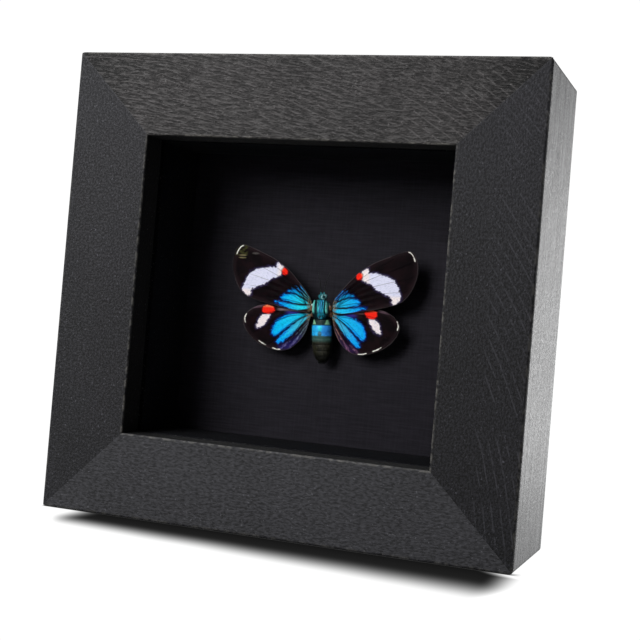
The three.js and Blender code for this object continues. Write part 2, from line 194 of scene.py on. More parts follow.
# How the right wing looks its marks up: outwards, forwards, and in size. The left wing does the opposite.
MARKS_MOVED = {"fore": (0.45, 0.2, 1.0), "hind": (0.0, 0.0, 1.035)}
WHITE_FRINGES = {
    "fore": [[(24.0, 16.15), (24.7, 15.8), (25.3, 15.1), (25.7, 14.4), (25.9, 13.7)]],
    "hind": [
        [(21.9, -2.8), (22.3, -4.0), (22.1, -5.2)],
        [(17.8, -10.2), (16.8, -10.8), (15.6, -11.3)],
        [(13.6, -12.0), (12.5, -12.3), (11.4, -12.3)],
    ],
}
OUTSIDE = -9.0

# The thorax's teal stripes: the middle of each, half its width, and how strongly it shows
THORAX_STRIPES = ((-1.75, 0.27, 1.0), (-0.2, 0.30, 0.9), (0.80, 0.34, 1.0), (2.0, 0.24, 1.1))
HEAD_ASIDE = 0.4
FOLDED_LEGS = (
    [(0.6, 0.9, -1.6), (0.9, 1.6, -2.9), (0.8, 0.8, -3.5), (1.0, -0.2, -3.7)],
    [(0.9, -1.0, -1.8), (1.6, -1.6, -3.5), (1.3, -3.6, -4.2), (1.0, -5.8, -4.3)],
    [(0.8, -2.4, -1.8), (1.6, -3.4, -3.9), (1.0, -6.2, -4.6), (0.6, -9.2, -4.8)],
)

# The grain of the four members: its way, its tone as a screen shows it, and where the saw's centre lay. The
# tones differ from member to member as painted light: the rails are lighter and the stiles darker, as light
# from above catches the grain.
GRAINS = {
    "rail_top": {
        "along": "x", "tone": (32, 31, 31), "contrast": 1.15, "relief": 1.0, "stretch": 1.1,
        "slope": 0.14, "saw": (-60.0, -40.0), "saw_width": 22.0, "saw_depth": 0.5, "specks": 0.5,
        "dim_ends": 0.42, "painted_light_top": 0.0,
    },
    "rail_bottom": {
        "along": "x", "tone": (31, 31, 33), "contrast": 0.80, "relief": 0.18, "stretch": 2.6,
        "slope": -0.03, "saw": (-40.0, 190.0), "saw_width": 22.0, "saw_depth": 0.1, "specks": 0.35,
        "dim_ends": 0.0, "painted_light_top": 0.0,
    },
    "stile_left": {
        "along": "z", "tone": (19, 19, 21), "contrast": 1.05, "relief": 0.45, "stretch": 5.5,
        "slope": 0.02, "saw": (-190.0, 30.0), "saw_width": 10.0, "saw_depth": 0.12, "specks": 0.8,
        "dim_ends": 0.0, "painted_light_top": 0.25,
    },
    "stile_right": {
        "along": "z", "tone": (15, 15, 17), "contrast": 1.35, "relief": 0.25, "stretch": 5.0,
        "slope": 0.02, "saw": (-70.0, -12.0), "saw_width": 11.0, "saw_depth": 0.65, "specks": 0.8,
        "dim_ends": 0.0, "painted_light_top": 0.4,
    },
}

# The stage, in metres and degrees: each light's place, what it faces, and its size
LIGHTS = {
    "key": ((-0.435, -0.65, 0.475), (0.0, 0.0, 0.06), (0.68, 0.62)),
    "top": ((-0.10, 0.25, 0.70), (0.0, 0.0, 0.0), (0.6, 0.5)),
    "side": ((0.42, 0.52, 0.105), (0.06, 0.0, 0.05), (0.55, 0.20)),
    "table": ((0.20, 0.14, 0.015), (0.063, 0.0, 0.03), (0.20, 0.03)),
}
CAMERA_PLACE = (0.115356, -0.333817, 0.056731)
CAMERA_TURN, CAMERA_TILT, CAMERA_ROLL = 20.72, 1.096, 4.81
CAMERA_SHIFT = (0.075, -0.05)
CAMERA_SENSOR = 36.0


def paint(red, green, blue):
    """A colour given as a screen shows it, from 0 to 255, in Blender's linear light."""
    parts = []
    for part in (red, green, blue):
        part /= 255
        parts.append(part / 12.92 if part <= 0.04045 else ((part + 0.055) / 1.055) ** 2.4)
    return (*parts, 1.0)


# Finishes


class Value:
    """A shader socket that Python's operators can work on."""

    def __init__(self, finish, socket):
        self.finish = finish
        self.socket = socket

    def math(self, operation, *numbers):
        return self.finish.node("Math", {"operation": operation}, dict(enumerate(numbers)))

    def __add__(self, other):
        return self.math("ADD", self, other)

    def __sub__(self, other):
        return self.math("SUBTRACT", self, other)

    def __rsub__(self, other):
        return self.math("SUBTRACT", other, self)

    def __mul__(self, other):
        return self.math("MULTIPLY", self, other)

    def __truediv__(self, other):
        return self.math("DIVIDE", self, other)

    def __pow__(self, other):
        return self.math("POWER", self, other)

    def __abs__(self):
        return self.math("ABSOLUTE", self)

    __radd__ = __add__
    __rmul__ = __mul__

    def wave(self):
        return self.math("SINE", self)

    def low(self, other):
        return self.math("MINIMUM", self, other)

    def high(self, other):
        return self.math("MAXIMUM", self, other)

    def ease(self, start, end):
        """0 at start and 1 at end, with a soft step between them."""
        ends = {0: self, 1: start, 2: end, 3: 0.0, 4: 1.0}
        return self.finish.node("MapRange", {"interpolation_type": "SMOOTHSTEP"}, ends)


class Finish:
    """A node material, with short methods for the nodes that its finish uses again and again."""

    def __init__(self, name, **uniform):
        self.material = bpy.data.materials.new(name)
        self.material.use_nodes = True
        self.tree = self.material.node_tree
        self.shader = self.tree.nodes["Principled BSDF"]
        for socket, value in uniform.items():
            self.shader.inputs[socket.replace("_", " ")].default_value = value

    def node(self, kind, settings=None, inputs=None, output=0):
        made = self.tree.nodes.new("ShaderNode" + kind)
        for name, value in (settings or {}).items():
            setattr(made, name, value)
        for name, value in (inputs or {}).items():
            self.feed(made.inputs[name], value)
        return Value(self, made.outputs[output])

    def feed(self, socket, value):
        if isinstance(value, Value):
            self.tree.links.new(value.socket, socket)
        else:
            socket.default_value = value

    def set(self, socket, value):
        self.feed(self.shader.inputs[socket], value)

    def millimetres(self):
        """The object's own coordinates, which are the row's, as three values in millimetres."""
        place = self.node("TexCoord", output="Object")
        parts = [self.node("SeparateXYZ", None, {0: place}, output) for output in "XYZ"]
        return [part * (1 / MM) for part in parts]

    def grit(self, x, y, z, detail=2.0, roughness=0.5):
        """Noise with one cell for each whole step of x, y and z."""
        place = self.node("CombineXYZ", None, {0: x, 1: y, 2: z})
        sockets = {"Vector": place, "Scale": 1.0, "Detail": detail, "Roughness": roughness}
        return self.node("TexNoise", None, sockets)

    def mix(self, share, first, second):
        return self.node("Mix", {"data_type": "RGBA"}, {0: share, 6: first, 7: second}, 2)

    def bump(self, height, distance, strength=1.0):
        sockets = {"Height": height, "Distance": distance * MM, "Strength": strength}
        self.set("Normal", self.node("Bump", None, sockets))

    def spread(self, name):
        """The three values of an attribute that the mesh carries."""
        found = self.node("Attribute", {"attribute_name": name}, output="Vector")
        return [self.node("SeparateXYZ", None, {0: found}, output) for output in "XYZ"]


def dress(names, finish):
    """Gives CAD nodes a finish in place of the plain colour that they were packed with."""
    for name in names:
        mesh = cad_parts[name].data
        mesh.materials.clear()
        mesh.materials.append(finish.material)


def root_of(first, second):
    """The distance that two legs at a right angle span."""
    return (first * first + second * second) ** 0.5


def face_edges(x, z):
    """How far a place lies inside the moulding's outer edge, and how far outside its sight edge."""
    width = abs(x)
    height = abs(z - MIDDLE_HEIGHT)
    outer = (HALF_WIDTH - width).low(MIDDLE_HEIGHT - height)
    sight = (width - (HALF_WIDTH - FACE)).high(height - (MIDDLE_HEIGHT - FACE))
    return outer, sight


def arris_wear(finish, x, z, depth):
    """Paler wood where the front edges of the moulding have rubbed."""
    outer, sight = face_edges(x, z)
    patchy = finish.grit(x * 0.5, z * 0.5, depth * 0.5, 3.0).ease(0.42, 0.62)
    outside = root_of(outer, depth).ease(0.95, 0.45) * 0.3
    inside = root_of(sight, depth).ease(0.75, 0.25) * 0.5
    return (outside + inside) * patchy


def mitre_glue(corner_x, corner_z):
    """The dark glue in one mitre: the moulding's section, cut along the diagonal of the corner."""
    wall = FACE - REBATE
    section = [(GLUE_INSET, WOOD_DEPTH - EASE), (GLUE_INSET, EASE)]
    section += [(EASE - EASE * math.cos(t), EASE - EASE * math.sin(t)) for t in (0.9, 1.2, 1.57)]
    section += [
        (FACE - SIGHT_EASE + SIGHT_EASE * math.sin(t), SIGHT_EASE - SIGHT_EASE * math.cos(t))
        for t in (0.0, 0.5, 1.0, 1.57)
    ]
    section += [(FACE, LIP), (wall, LIP), (wall, WOOD_DEPTH), (EASE, WOOD_DEPTH)]
    bm = bmesh.new()
    verts = []
    for inwards, behind in section:
        inwards += GLUE_SINK if inwards < FACE / 2 else -GLUE_SINK
        behind += GLUE_SINK if behind < WOOD_DEPTH / 2 else -GLUE_SINK
        x = corner_x * (HALF_WIDTH - inwards)
        z = MIDDLE_HEIGHT + corner_z * (MIDDLE_HEIGHT - inwards)
        verts.append(bm.verts.new((x, FRONT + behind, z)))
    face = bm.faces.new(verts)
    across = Vector((corner_x, 0.0, -corner_z)).normalized() * GLUE_HALF
    bmesh.ops.translate(bm, vec=-across, verts=bm.verts)
    grown = bmesh.ops.extrude_face_region(bm, geom=[face], use_keep_orig=True)["geom"]
    verts = [item for item in grown if isinstance(item, bmesh.types.BMVert)]
    bmesh.ops.translate(bm, vec=2 * across, verts=verts)
    bmesh.ops.transform(bm, matrix=Matrix.Scale(MM, 4), verts=bm.verts)
    return bm


def tones(tone, contrast):
    """The dark and the light end of a member's tone, given as a screen shows it: the black stain with that
    member's painted light in it.
    """
    return (
        paint(*(part * (1 - 0.55 * contrast) for part in tone)),
        paint(*(part * (1 + 0.62 * contrast) for part in tone)),
    )


def saw_marks(finish, grain, x, z, depth, wander):
    """Broken arcs that the saw left on the front face, near its outer edge."""
    centre_x, centre_z = grain["saw"]
    sweep = root_of(x - centre_x, z - centre_z) + wander * 0.4
    lines = (sweep * (2 * math.pi / SAW_PITCH)).wave().ease(0.75, 0.97)
    cluster = finish.grit(x * 0.07, z * 0.07, depth * 0.1, 1.0).ease(0.36, 0.48)
    broken = finish.grit(x * 0.5, z * 0.5, depth * 0.5, 2.0).ease(0.38, 0.54)
    outer, _ = face_edges(x, z)
    near_edge = outer.ease(grain["saw_width"] + 2, grain["saw_width"] - 2)
    return lines * cluster * broken * near_edge * depth.ease(1.5, 0.5)


def black_wood(name, grain, settings):
    """Black stained wood with the grain along x or z, for one member of the moulding, with a painted sheen on
    its outer sides and painted shade on its lip's inner walls.
    """
    finish = Finish("black_wood_" + name, Specular_IOR_Level=settings.wood_gloss)
    x, y, z = finish.millimetres()
    length, across = (x, z) if grain["along"] == "x" else (z, x)
    depth = y - FRONT
    wander = finish.grit(length * 0.05, across * 0.09, depth * 0.09) * 3.4
    course = across + length * grain["slope"] + wander
    stretched = length * 0.30 * grain["stretch"]
    dashes = finish.grit(stretched, course * 1.9, depth * 1.9, 2.0, 0.6).ease(0.36, 0.64)
    fine = finish.grit(length * 1.1, across * 2.7, depth * 2.7, 1.0).ease(0.36, 0.64)
    cloud = finish.grit(x * 0.06, y * 0.06, z * 0.06, 3.0).ease(0.3, 0.7)
    speckle = finish.grit(length * 1.5, across * 1.7, depth * 1.7, 1.0)
    marks = saw_marks(finish, grain, x, z, depth, wander)

    share = dashes * 0.62 + fine * 0.26 + cloud * 0.12
    share = share - abs(x).ease(42.0, 60.0) * grain["dim_ends"]
    # Painted light: the stiles are made lighter towards the top, as if lit from above.
    share = share + (z.ease(50.0, 120.0) - 0.5) * grain["painted_light_top"]
    base = finish.mix(share, *tones(grain["tone"], grain["contrast"]))
    pale = [part * 1.9 + 12 for part in grain["tone"]]
    base = finish.mix(marks * grain["saw_depth"], base, paint(*pale))
    flecks = speckle.ease(0.62, 0.76) * finish.grit(x * 0.3, z * 0.3, depth * 0.3, 2.0).ease(0.35, 0.6)
    base = finish.mix(flecks * grain["specks"], base, paint(*(part * 1.3 for part in pale)))
    worn = arris_wear(finish, x, z, depth) * settings.wear
    base = finish.mix(worn.low(1.0), base, paint(112, 110, 104))
    # Painted sheen: the outer sides get a streaked pale grey that stands in for light glancing off the black
    # stain.
    side = (abs(x) - HALF_WIDTH).ease(-0.4, -0.1)
    streaks = finish.grit(z * 0.055, y * 0.42, 2.0, 5.0, 0.66).ease(0.33, 0.67)
    base = finish.mix(side * (streaks * 0.6 + 0.09), base, paint(116, 117, 118))
    _, sight = face_edges(x, z)
    # Painted shade: the lip's inner walls are painted near black, apart from a few specks, for the shade
    # inside the opening.
    lip_painted_shade = sight.ease(0.4, 0.1) * depth.ease(0.3, 0.8)
    base = finish.mix(lip_painted_shade * speckle.ease(0.78, 0.70), base, paint(3, 3, 4))
    finish.set("Base Color", base)
    finish.set("Roughness", settings.wood_roughness - 0.14 * (dashes - 0.5) + lip_painted_shade * 0.4)
    finish.bump(dashes + fine * 0.4 + marks * grain["saw_depth"], settings.grain_depth / MM * grain["relief"])
    return finish


def glass_finish(settings):
    """Clear glass that light passes straight through, with a weak reflection."""
    finish = Finish("clear_glass")
    rim = (finish.node("Fresnel", None, {"IOR": settings.glass_index}) - 0.04).high(0.0)
    clear = finish.node("BsdfTransparent", None, {"Color": (*settings.glass_tint, 1.0)})
    gloss = finish.node("BsdfGlossy", None, {"Roughness": 0.02})
    both = finish.node("MixShader", None, {0: rim, 1: clear, 2: gloss})
    output = finish.tree.nodes["Material Output"]
    finish.feed(output.inputs["Surface"], both)
    return finish


def card_finish():
    """Matt black card, with the faint marks of its cutting."""
    finish = Finish("black_card", Specular_IOR_Level=0.15)
    x, y, z = finish.millimetres()
    streak = finish.grit(x * 0.9, y * 0.2, z * 0.9, 3.0)
    fleck = finish.grit(x * 2.1, y * 2.1, z * 2.1, 1.0).ease(0.66, 0.74)
    base = finish.mix(streak.ease(0.3, 0.7), paint(9, 9, 14), paint(20, 20, 25))
    finish.set("Base Color", finish.mix(fleck * 0.7, base, paint(84, 84, 82)))
    finish.set("Roughness", 0.72 + 0.2 * streak)
    finish.bump(streak + fleck, 0.04)
    return finish


def linen_finish(settings):
    """Black board covered with paper that has a fine linen grain."""
    finish = Finish("linen_board", Specular_IOR_Level=0.12)
    x, y, z = finish.millimetres()
    weft = finish.grit(x * 0.11, y, z * 2.1, 2.0, 0.6)
    warp = finish.grit(x * 1.9, y, z * 0.13, 2.0, 0.6)
    cloud = finish.grit(x * 0.04, y * 0.04, z * 0.04, 2.0)
    thread = 0.2 + 0.38 * weft.ease(0.30, 0.72) + 0.18 * warp.ease(0.35, 0.70) + 0.2 * (cloud - 0.5)
    pale = tuple(min(1.0, 1.9 * part) for part in settings.board_colour)
    deep = tuple(0.5 * part for part in settings.board_colour)
    finish.set("Base Color", finish.mix(thread, (*deep, 1.0), (*pale, 1.0)))
    finish.set("Roughness", 0.78 - 0.12 * thread)
    finish.bump(weft + 0.6 * warp, 0.035)
    return finish


def hardboard_finish():
    """Brown hardboard with pressed fibres and darker flecks."""
    finish = Finish("hardboard")
    x, y, z = finish.millimetres()
    fibre = finish.grit(x * 0.8, y * 0.8, z * 0.8, 6.0, 0.7)
    fleck = finish.grit(x * 1.7, y * 1.7, z * 0.7, 2.0).ease(0.60, 0.72)
    cloud = finish.grit(x * 0.03, y * 0.03, z * 0.03, 3.0)
    base = finish.mix((fibre * 0.7 + cloud * 0.6).ease(0.45, 0.85), paint(86, 58, 38), paint(132, 96, 66))
    finish.set("Base Color", finish.mix(fleck * 0.6, base, paint(58, 38, 26)))
    finish.set("Roughness", 0.5 + 0.25 * fibre)
    finish.bump(fibre, 0.08)
    return finish


def steel_finish():
    """Zinc-plated steel with a soft, uneven shine."""
    finish = Finish("zinc_steel", Metallic=1.0)
    x, y, z = finish.millimetres()
    brushed = finish.grit(x * 0.3, y * 3.0, z * 3.0, 2.0)
    cloud = finish.grit(x * 0.35, y * 0.35, z * 0.35, 4.0)
    finish.set("Base Color", finish.mix(cloud.ease(0.35, 0.7), paint(146, 148, 152), paint(196, 197, 200)))
    finish.set("Roughness", 0.36 + 0.18 * cloud + 0.1 * brushed)
    finish.bump(brushed, 0.02)
    return finish


# Shapes


def along_spline(points, count, closed=False):
    """Evenly spaced points on a smooth curve through the given ones."""
    points = [np.array(point, float) for point in points]
    last = len(points) if closed else len(points) - 1
    fine = []
    for i in range(last):
        if closed:
            before, start, end, after = (points[(i + k) % len(points)] for k in (-1, 0, 1, 2))
        else:
            start, end = points[i], points[i + 1]
            before = points[i - 1] if i > 0 else 2 * start - end
            after = points[i + 2] if i + 2 < len(points) else 2 * end - start
        for t in np.linspace(0, 1, 24, endpoint=False):
            fine.append(0.5 * (
                2 * start + (end - before) * t
                + (2 * before - 5 * start + 4 * end - after) * t ** 2
                + (3 * start - before - 3 * end + after) * t ** 3
            ))
    fine.append(points[0] if closed else points[-1])
    fine = np.array(fine)
    steps = np.linalg.norm(np.diff(fine, axis=0), axis=1)
    reached = np.concatenate([[0.0], np.cumsum(steps)])
    wanted = np.linspace(0, reached[-1], count + 1)
    return np.stack([np.interp(wanted, reached, column) for column in fine.T], axis=1)


def depth_inside(places, outline):
    """How far each place is inside an outline, in its own units, and below 0 outside."""
    corners = along_spline(outline, 5 * len(outline), closed=True)
    x, y = places[:, 0], places[:, 1]
    nearest = np.full(len(places), 1e9)
    inside = np.zeros(len(places), bool)
    for (ax, ay), (bx, by) in zip(corners[:-1], corners[1:]):
        dx, dy = bx - ax, by - ay
        share = np.clip(((x - ax) * dx + (y - ay) * dy) / max(dx * dx + dy * dy, 1e-9), 0, 1)
        nearest = np.minimum(nearest, np.hypot(x - ax - share * dx, y - ay - share * dy))
        if ay != by:
            crosses = ((ay > y) != (by > y)) & (x < ax + (y - ay) * dx / dy)
            inside ^= crosses
    return np.where(inside, nearest, -nearest)


def distance_to(places, strokes):
    """How far each place is from the nearest of some smooth strokes."""
    nearest = np.full(len(places), 1e9)
    for stroke in strokes:
        line = along_spline(stroke, 24)
        for (ax, ay), (bx, by) in zip(line[:-1], line[1:]):
            dx, dy = bx - ax, by - ay
            reach = (places[:, 0] - ax) * dx + (places[:, 1] - ay) * dy
            share = np.clip(reach / (dx * dx + dy * dy), 0, 1)
            off = np.hypot(places[:, 0] - ax - share * dx, places[:, 1] - ay - share * dy)
            nearest = np.minimum(nearest, off)
    return nearest


def merged(forms):
    """One bmesh made of several, each modelled by itself so that the operators stay quick."""
    whole = bmesh.new()
    for form in forms:
        mesh = bpy.data.meshes.new("form")
        form.to_mesh(mesh)
        form.free()
        whole.from_mesh(mesh)
        bpy.data.meshes.remove(mesh)
    return whole


def tube(points, radii, sides=8):
    """A closed tube along some points, with a radius at each of them."""
    bm = bmesh.new()
    points = [Vector(point) for point in points]
    frames = []
    for i, point in enumerate(points):
        ahead = points[min(i + 1, len(points) - 1)] - points[max(i - 1, 0)]
        turn = ahead.to_track_quat("Z", "Y").to_matrix().to_4x4()
        frames.append(Matrix.Translation(point) @ turn @ Matrix.Scale(radii[i], 4))
    bmesh.ops.create_circle(bm, cap_ends=True, radius=1.0, segments=sides, matrix=frames[0])
    edges = bm.edges[:]
    for before, now in zip(frames[:-1], frames[1:]):
        grown = bmesh.ops.extrude_edge_only(bm, edges=edges)["geom"]
        verts = [item for item in grown if isinstance(item, bmesh.types.BMVert)]
        edges = [item for item in grown if isinstance(item, bmesh.types.BMEdge)]
        bmesh.ops.transform(bm, matrix=now @ before.inverted(), verts=verts)
    bmesh.ops.contextual_create(bm, geom=edges)
    return bm


def ball(centre, size, around=32, rows=20, turn=None):
    """An ellipsoid with its poles along y, by its centre and its three widths."""
    bm = bmesh.new()
    place = Matrix.Translation(centre) @ (turn or Matrix.Identity(4))
    shape = Matrix.Diagonal((size[0], size[1], size[2], 1.0)) @ Matrix.Rotation(math.pi / 2, 4, "X")
    bmesh.ops.create_uvsphere(bm, u_segments=around, v_segments=rows, radius=0.5, matrix=place @ shape)
    return bm


def spike(bm, start, end, wide, sharp):
    """A three-sided hair or scale from one point to another."""
    ahead = end - start
    turn = ahead.to_track_quat("Z", "Y").to_matrix().to_4x4()
    bmesh.ops.create_cone(
        bm, cap_ends=True, segments=3, radius1=wide, radius2=sharp, depth=ahead.length,
        matrix=Matrix.Translation((start + end) / 2) @ turn,
    )


def moth_place(turn=0.0, shift=0.0, drop=0.0):
    """From the moth's own millimetres to the row's metres."""
    upright = Matrix.Rotation(math.pi / 2, 4, "X")
    settled = Matrix.Translation((shift, 0.0, -drop)) @ Matrix.Rotation(turn, 4, "Z")
    return Matrix.Scale(MM, 4) @ Matrix.Translation(MOTH_PLACE) @ upright @ settled


def rise(x):
    """How high a wing's middle lies, so far out from the body."""
    return WING_RISE * math.sin(min(abs(x) / WING_REACH, 1.0) * math.pi / 2)


def finished_piece(name, bm, material, replaced=(), smooth=True):
    """Turns a bmesh in metres into a piece that stands for CAD nodes."""
    bmesh.ops.recalc_face_normals(bm, faces=bm.faces)
    mesh = bpy.data.meshes.new(name)
    bm.to_mesh(mesh)
    bm.free()
    mesh.materials.append(material)
    if smooth:
        mesh.shade_smooth()
    piece = bpy.data.objects.new(name, mesh)
    bpy.context.scene.collection.objects.link(piece)
    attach(piece, "root")
    if replaced:
        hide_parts(*replaced)
    return piece


def wing_surface(form, u, w):
    """Points of the patch between a wing's hind edge, fore edge, root and outer margin."""
    outline = form["outline"]
    apex, tornus = form["corners"]

    def follow(points, t):
        curve = along_spline(points, 240)
        even = np.linspace(0, 1, len(curve))
        return np.stack([np.interp(t, even, column) for column in curve.T], axis=1)

    hind = follow(outline[tornus:][::-1], u)
    fore = follow(outline[:apex + 1], u)
    root = follow([outline[-1], outline[0]], w)
    margin = follow(outline[apex:tornus + 1][::-1], w)
    u, w = u[:, None], w[:, None]
    root_hind, root_fore = np.array(outline[-1]), np.array(outline[0])
    tip_hind, tip_fore = np.array(outline[tornus]), np.array(outline[apex])
    corners = (1 - u) * ((1 - w) * root_hind + w * root_fore) + u * ((1 - w) * tip_hind + w * tip_fore)
    return (1 - w) * hind + w * fore + (1 - u) * root + u * margin - corners


def wing_mesh(form, side, settings, chance):
    """A thin wing with raised veins and a fringe of scales, in the wing's own millimetres."""
    sheet = bmesh.new()
    bmesh.ops.create_grid(sheet, x_segments=form["grid"][0], y_segments=form["grid"][1], size=0.5)
    flat = np.array([vert.co for vert in sheet.verts])
    u, w = flat[:, 0] + 0.5, flat[:, 1] + 0.5
    phase = chance.uniform(0, 6)
    for vert, (x, y), along, across in zip(sheet.verts, wing_surface(form, u, w), u, w):
        pleat = 0.05 * math.cos(14 * math.pi * across) * math.sin(math.pi * min(1.0, 1.4 * along))
        sway = 0.10 * math.sin(0.33 * x + 0.21 * y + phase) * along
        vert.co = (side * x, y, rise(x) + pleat + sway)
    bmesh.ops.solidify(sheet, geom=sheet.faces, thickness=settings.membrane / MM)

    radius = settings.vein_radius / MM
    veins = []
    for points in form["veins"]:
        path = [(side * x, y, rise(x) + 0.04) for x, y in along_spline(points, 16)]
        veins.append(tube(path, [radius * (1.25 - 0.8 * i / 16) for i in range(17)], 6))
    veins = merged(veins)

    fringe = bmesh.new()
    apex, tornus = form["corners"]
    edge = along_spline(form["outline"][apex - 2:tornus + 3], 330)
    for i in range(1, len(edge) - 1):
        ahead = edge[i + 1] - edge[i - 1]
        out = Vector((-ahead[1], ahead[0])).normalized()
        lean = out + Vector((chance.uniform(-0.3, 0.3), chance.uniform(-0.3, 0.3)))
        reach = 0.12 + settings.fringe / MM * chance.uniform(0.5, 1.0)
        base = Vector((side * (edge[i][0] - 0.12 * out.x), edge[i][1] - 0.12 * out.y, rise(edge[i][0])))
        tip = base + reach * Vector((side * lean.x, lean.y, chance.uniform(-0.12, 0.12)))
        spike(fringe, base, tip, 0.06, 0.012)
    parts = np.repeat([0.0, 1.0, 2.0], [len(form.verts) for form in (sheet, veins, fringe)])
    return merged([sheet, veins, fringe]), parts


def wing_attributes(kind, form, places, parts, side):
    """What the wing's finish needs at each vertex: how deep it lies in each marking."""
    shift, lift, growth = MARKS_MOVED[kind]
    spots = places[:, :2] * (side, 1)
    marked = spots * (growth ** side, 1) + side * np.array((shift, lift))
    inwards = spots * 1.012
    if kind == "fore":
        rays, marks = FORE_RAYS, [FORE_BAND, FORE_RED, FORE_STREAKS]
    else:
        rays, marks = HIND_RAYS[:2], [HIND_SPOT, HIND_RED, HIND_RAYS[2]]
    ray_depths = [depth_inside(marked, outline) for outline in rays]
    while len(ray_depths) < 3:
        ray_depths.append(np.full(len(marked), OUTSIDE))
    from_root = spots - np.array(form["veins"][0][0]) + np.array((2.4, 0.0))
    radius = np.hypot(from_root[:, 0], from_root[:, 1])
    angle = np.arctan2(from_root[:, 1], from_root[:, 0])
    return {
        "rays": np.stack(ray_depths, axis=1),
        "marks": np.stack([depth_inside(marked, outline) for outline in marks], axis=1),
        "edge": np.stack([
            distance_to(inwards, WHITE_FRINGES[kind]), depth_inside(spots, form["outline"]), parts,
        ], axis=1),
        "fan": np.stack([radius, angle, np.full(len(radius), float(side))], axis=1),
        "wing": np.stack([spots[:, 0], spots[:, 1], places[:, 2]], axis=1),
    }


class WingPlace:
    """Where a point lies on a wing and in its marks, and the noises that the finish shares."""

    def __init__(self, finish):
        self.rays = finish.spread("rays")
        self.pale, self.red, self.third = finish.spread("marks")
        self.white_edge, self.rim, self.part = finish.spread("edge")
        self.radius, self.angle, self.side = finish.spread("fan")
        self.x, self.y, _ = finish.spread("wing")
        self.right = self.side.ease(-1.0, 1.0)
        self.combed = finish.grit(self.angle * 26.0, self.radius * 0.9, self.side * 3.0, 2.0) - 0.5
        self.scales = finish.grit(self.x * 7.0, self.y * 7.0, self.side * 5.0, 1.0)
        self.fine = finish.grit(self.angle * 70.0, self.radius * 1.2, self.side, 2.0)
        self.cloud = finish.grit(self.x * 0.35, self.y * 0.35, self.side * 7.0, 3.0)


def wing_ground(finish, at):
    """Brown-black scales, a little paler towards a wing's rim."""
    patches = at.cloud.ease(0.4, 0.65) * 0.7 + at.scales * 0.3
    ground = finish.mix(patches, paint(3, 0, 2), paint(22, 7, 11))
    return finish.mix(at.rim.ease(1.5, 0.1) * 0.4, ground, paint(44, 32, 36))


def fore_shimmer(finish, at, ground):
    """Fine teal lines on blue-black, between a forewing's rays and its band."""
    lines = (at.angle * 46.0 + at.combed * 5.0).wave().ease(-0.1, 0.6)
    inside = (at.third + at.combed * 3.0).ease(-0.5, 0.6)
    blue_black = finish.mix(at.right, paint(3, 15, 26), paint(4, 22, 60))
    ground = finish.mix(inside * 0.8, ground, blue_black)
    teal = finish.mix(at.radius.ease(3.5, 7.0), paint(74, 150, 158), paint(24, 120, 196))
    teal = finish.mix(at.right * 0.7, teal, paint(30, 124, 226))
    return finish.mix(inside * lines * at.fine.ease(0.34, 0.54), ground, teal)


def hind_shimmer(finish, at, ground):
    """Pale strands on violet along a hindwing's inner edge, and its greyer fore edge."""
    x, y, right, combed = at.x, at.y, at.right, at.combed
    inner = (at.third + combed * 2.0).ease(-0.8, 0.7)
    shade = finish.mix(at.radius.ease(5.0, 9.0), paint(44, 52, 66), paint(34, 28, 92))
    shade = finish.mix(right * 0.7, shade, paint(44, 22, 40))
    outwards = at.radius.ease(5.0, 10.0)
    left_tone = finish.mix(outwards, paint(140, 164, 176), paint(104, 96, 150))
    right_tone = finish.mix(outwards, paint(184, 132, 120), paint(134, 92, 122))
    strands = (at.angle * 44.0 + combed * 6.0).wave().ease(0.0, 0.8) * at.fine.ease(0.34, 0.56)
    ground = finish.mix(inner * 0.9, ground, shade)
    ground = finish.mix(inner * strands * 0.85, ground, finish.mix(right, left_tone, right_tone))
    near = (abs(y + 1.35 - x * 0.02) + combed * 0.3).ease(0.62, 0.1) * x.ease(13.2, 11.6) * x.ease(5.0, 8.5)
    ground = finish.mix(near * 0.85, ground, finish.mix(right, paint(132, 112, 118), paint(92, 66, 64)))
    beyond = abs(y + 0.33 + (x - 16.5) * 0.18).ease(0.5, 0.1) * x.ease(16.0, 17.0) * x.ease(20.5, 19.0)
    ground = finish.mix(beyond * 0.7, ground, paint(100, 76, 88))
    under = (abs(y + 1.95) + combed * 0.5).ease(0.8, 0.2) * x.ease(5.5, 7.0) * x.ease(11.0, 8.5)
    return finish.mix(under * 0.8, ground, paint(54, 46, 142))


def wing_rays(finish, kind, at, colour, settings):
    """Bright blue rays that fan out from the root, and the brown glints beside it."""
    near, far, edge = (*settings.ray_near, 1.0), (*settings.ray_far, 1.0), (*settings.ray_edge, 1.0)
    ragged = at.radius.ease(2.0, 9.0)
    for i, (ray, (turn, strength)) in enumerate(zip(at.rays, RAY_TURNS[kind])):
        inside = ray + 0.06 + (at.combed * 1.3 + (at.fine - 0.5) * 1.2) * ragged
        blue = finish.mix(at.radius.ease(*turn), near, far)
        if kind == "hind":
            blue = finish.mix(0.45, blue, far)
        blue = finish.mix(inside.ease(0.95, 0.1) * at.radius.ease(4.0, 10.0) * 0.75, blue, edge)
        blue = finish.mix(at.right * 0.35, blue, paint(26, 150, 255))
        if kind == "hind" and i == 1:
            blue = finish.mix(at.radius.ease(11.0, 4.0) * 0.55, blue, paint(84, 176, 198))
        blue = finish.mix(at.fine.ease(0.52, 0.62) * 0.55, blue, paint(8, 84, 170))
        halo = inside.ease(-0.55, 0.05) * at.radius.ease(4.0, 9.0) * (0.85 if i == 0 else 0.6)
        colour = finish.mix(halo, colour, paint(3, 22, 98))
        colour = finish.mix(inside.ease(-0.10, 0.30) * strength, colour, blue)
    glint = finish.grit(at.x * 2.4, at.y * 2.4, at.side, 2.0).ease(0.42, 0.62)
    colour = finish.mix(at.radius.ease(2.9, 1.9) * 0.6, colour, paint(40, 60, 52))
    return finish.mix(glint * at.radius.ease(2.9, 1.7) * 0.8, colour, paint(146, 118, 74))


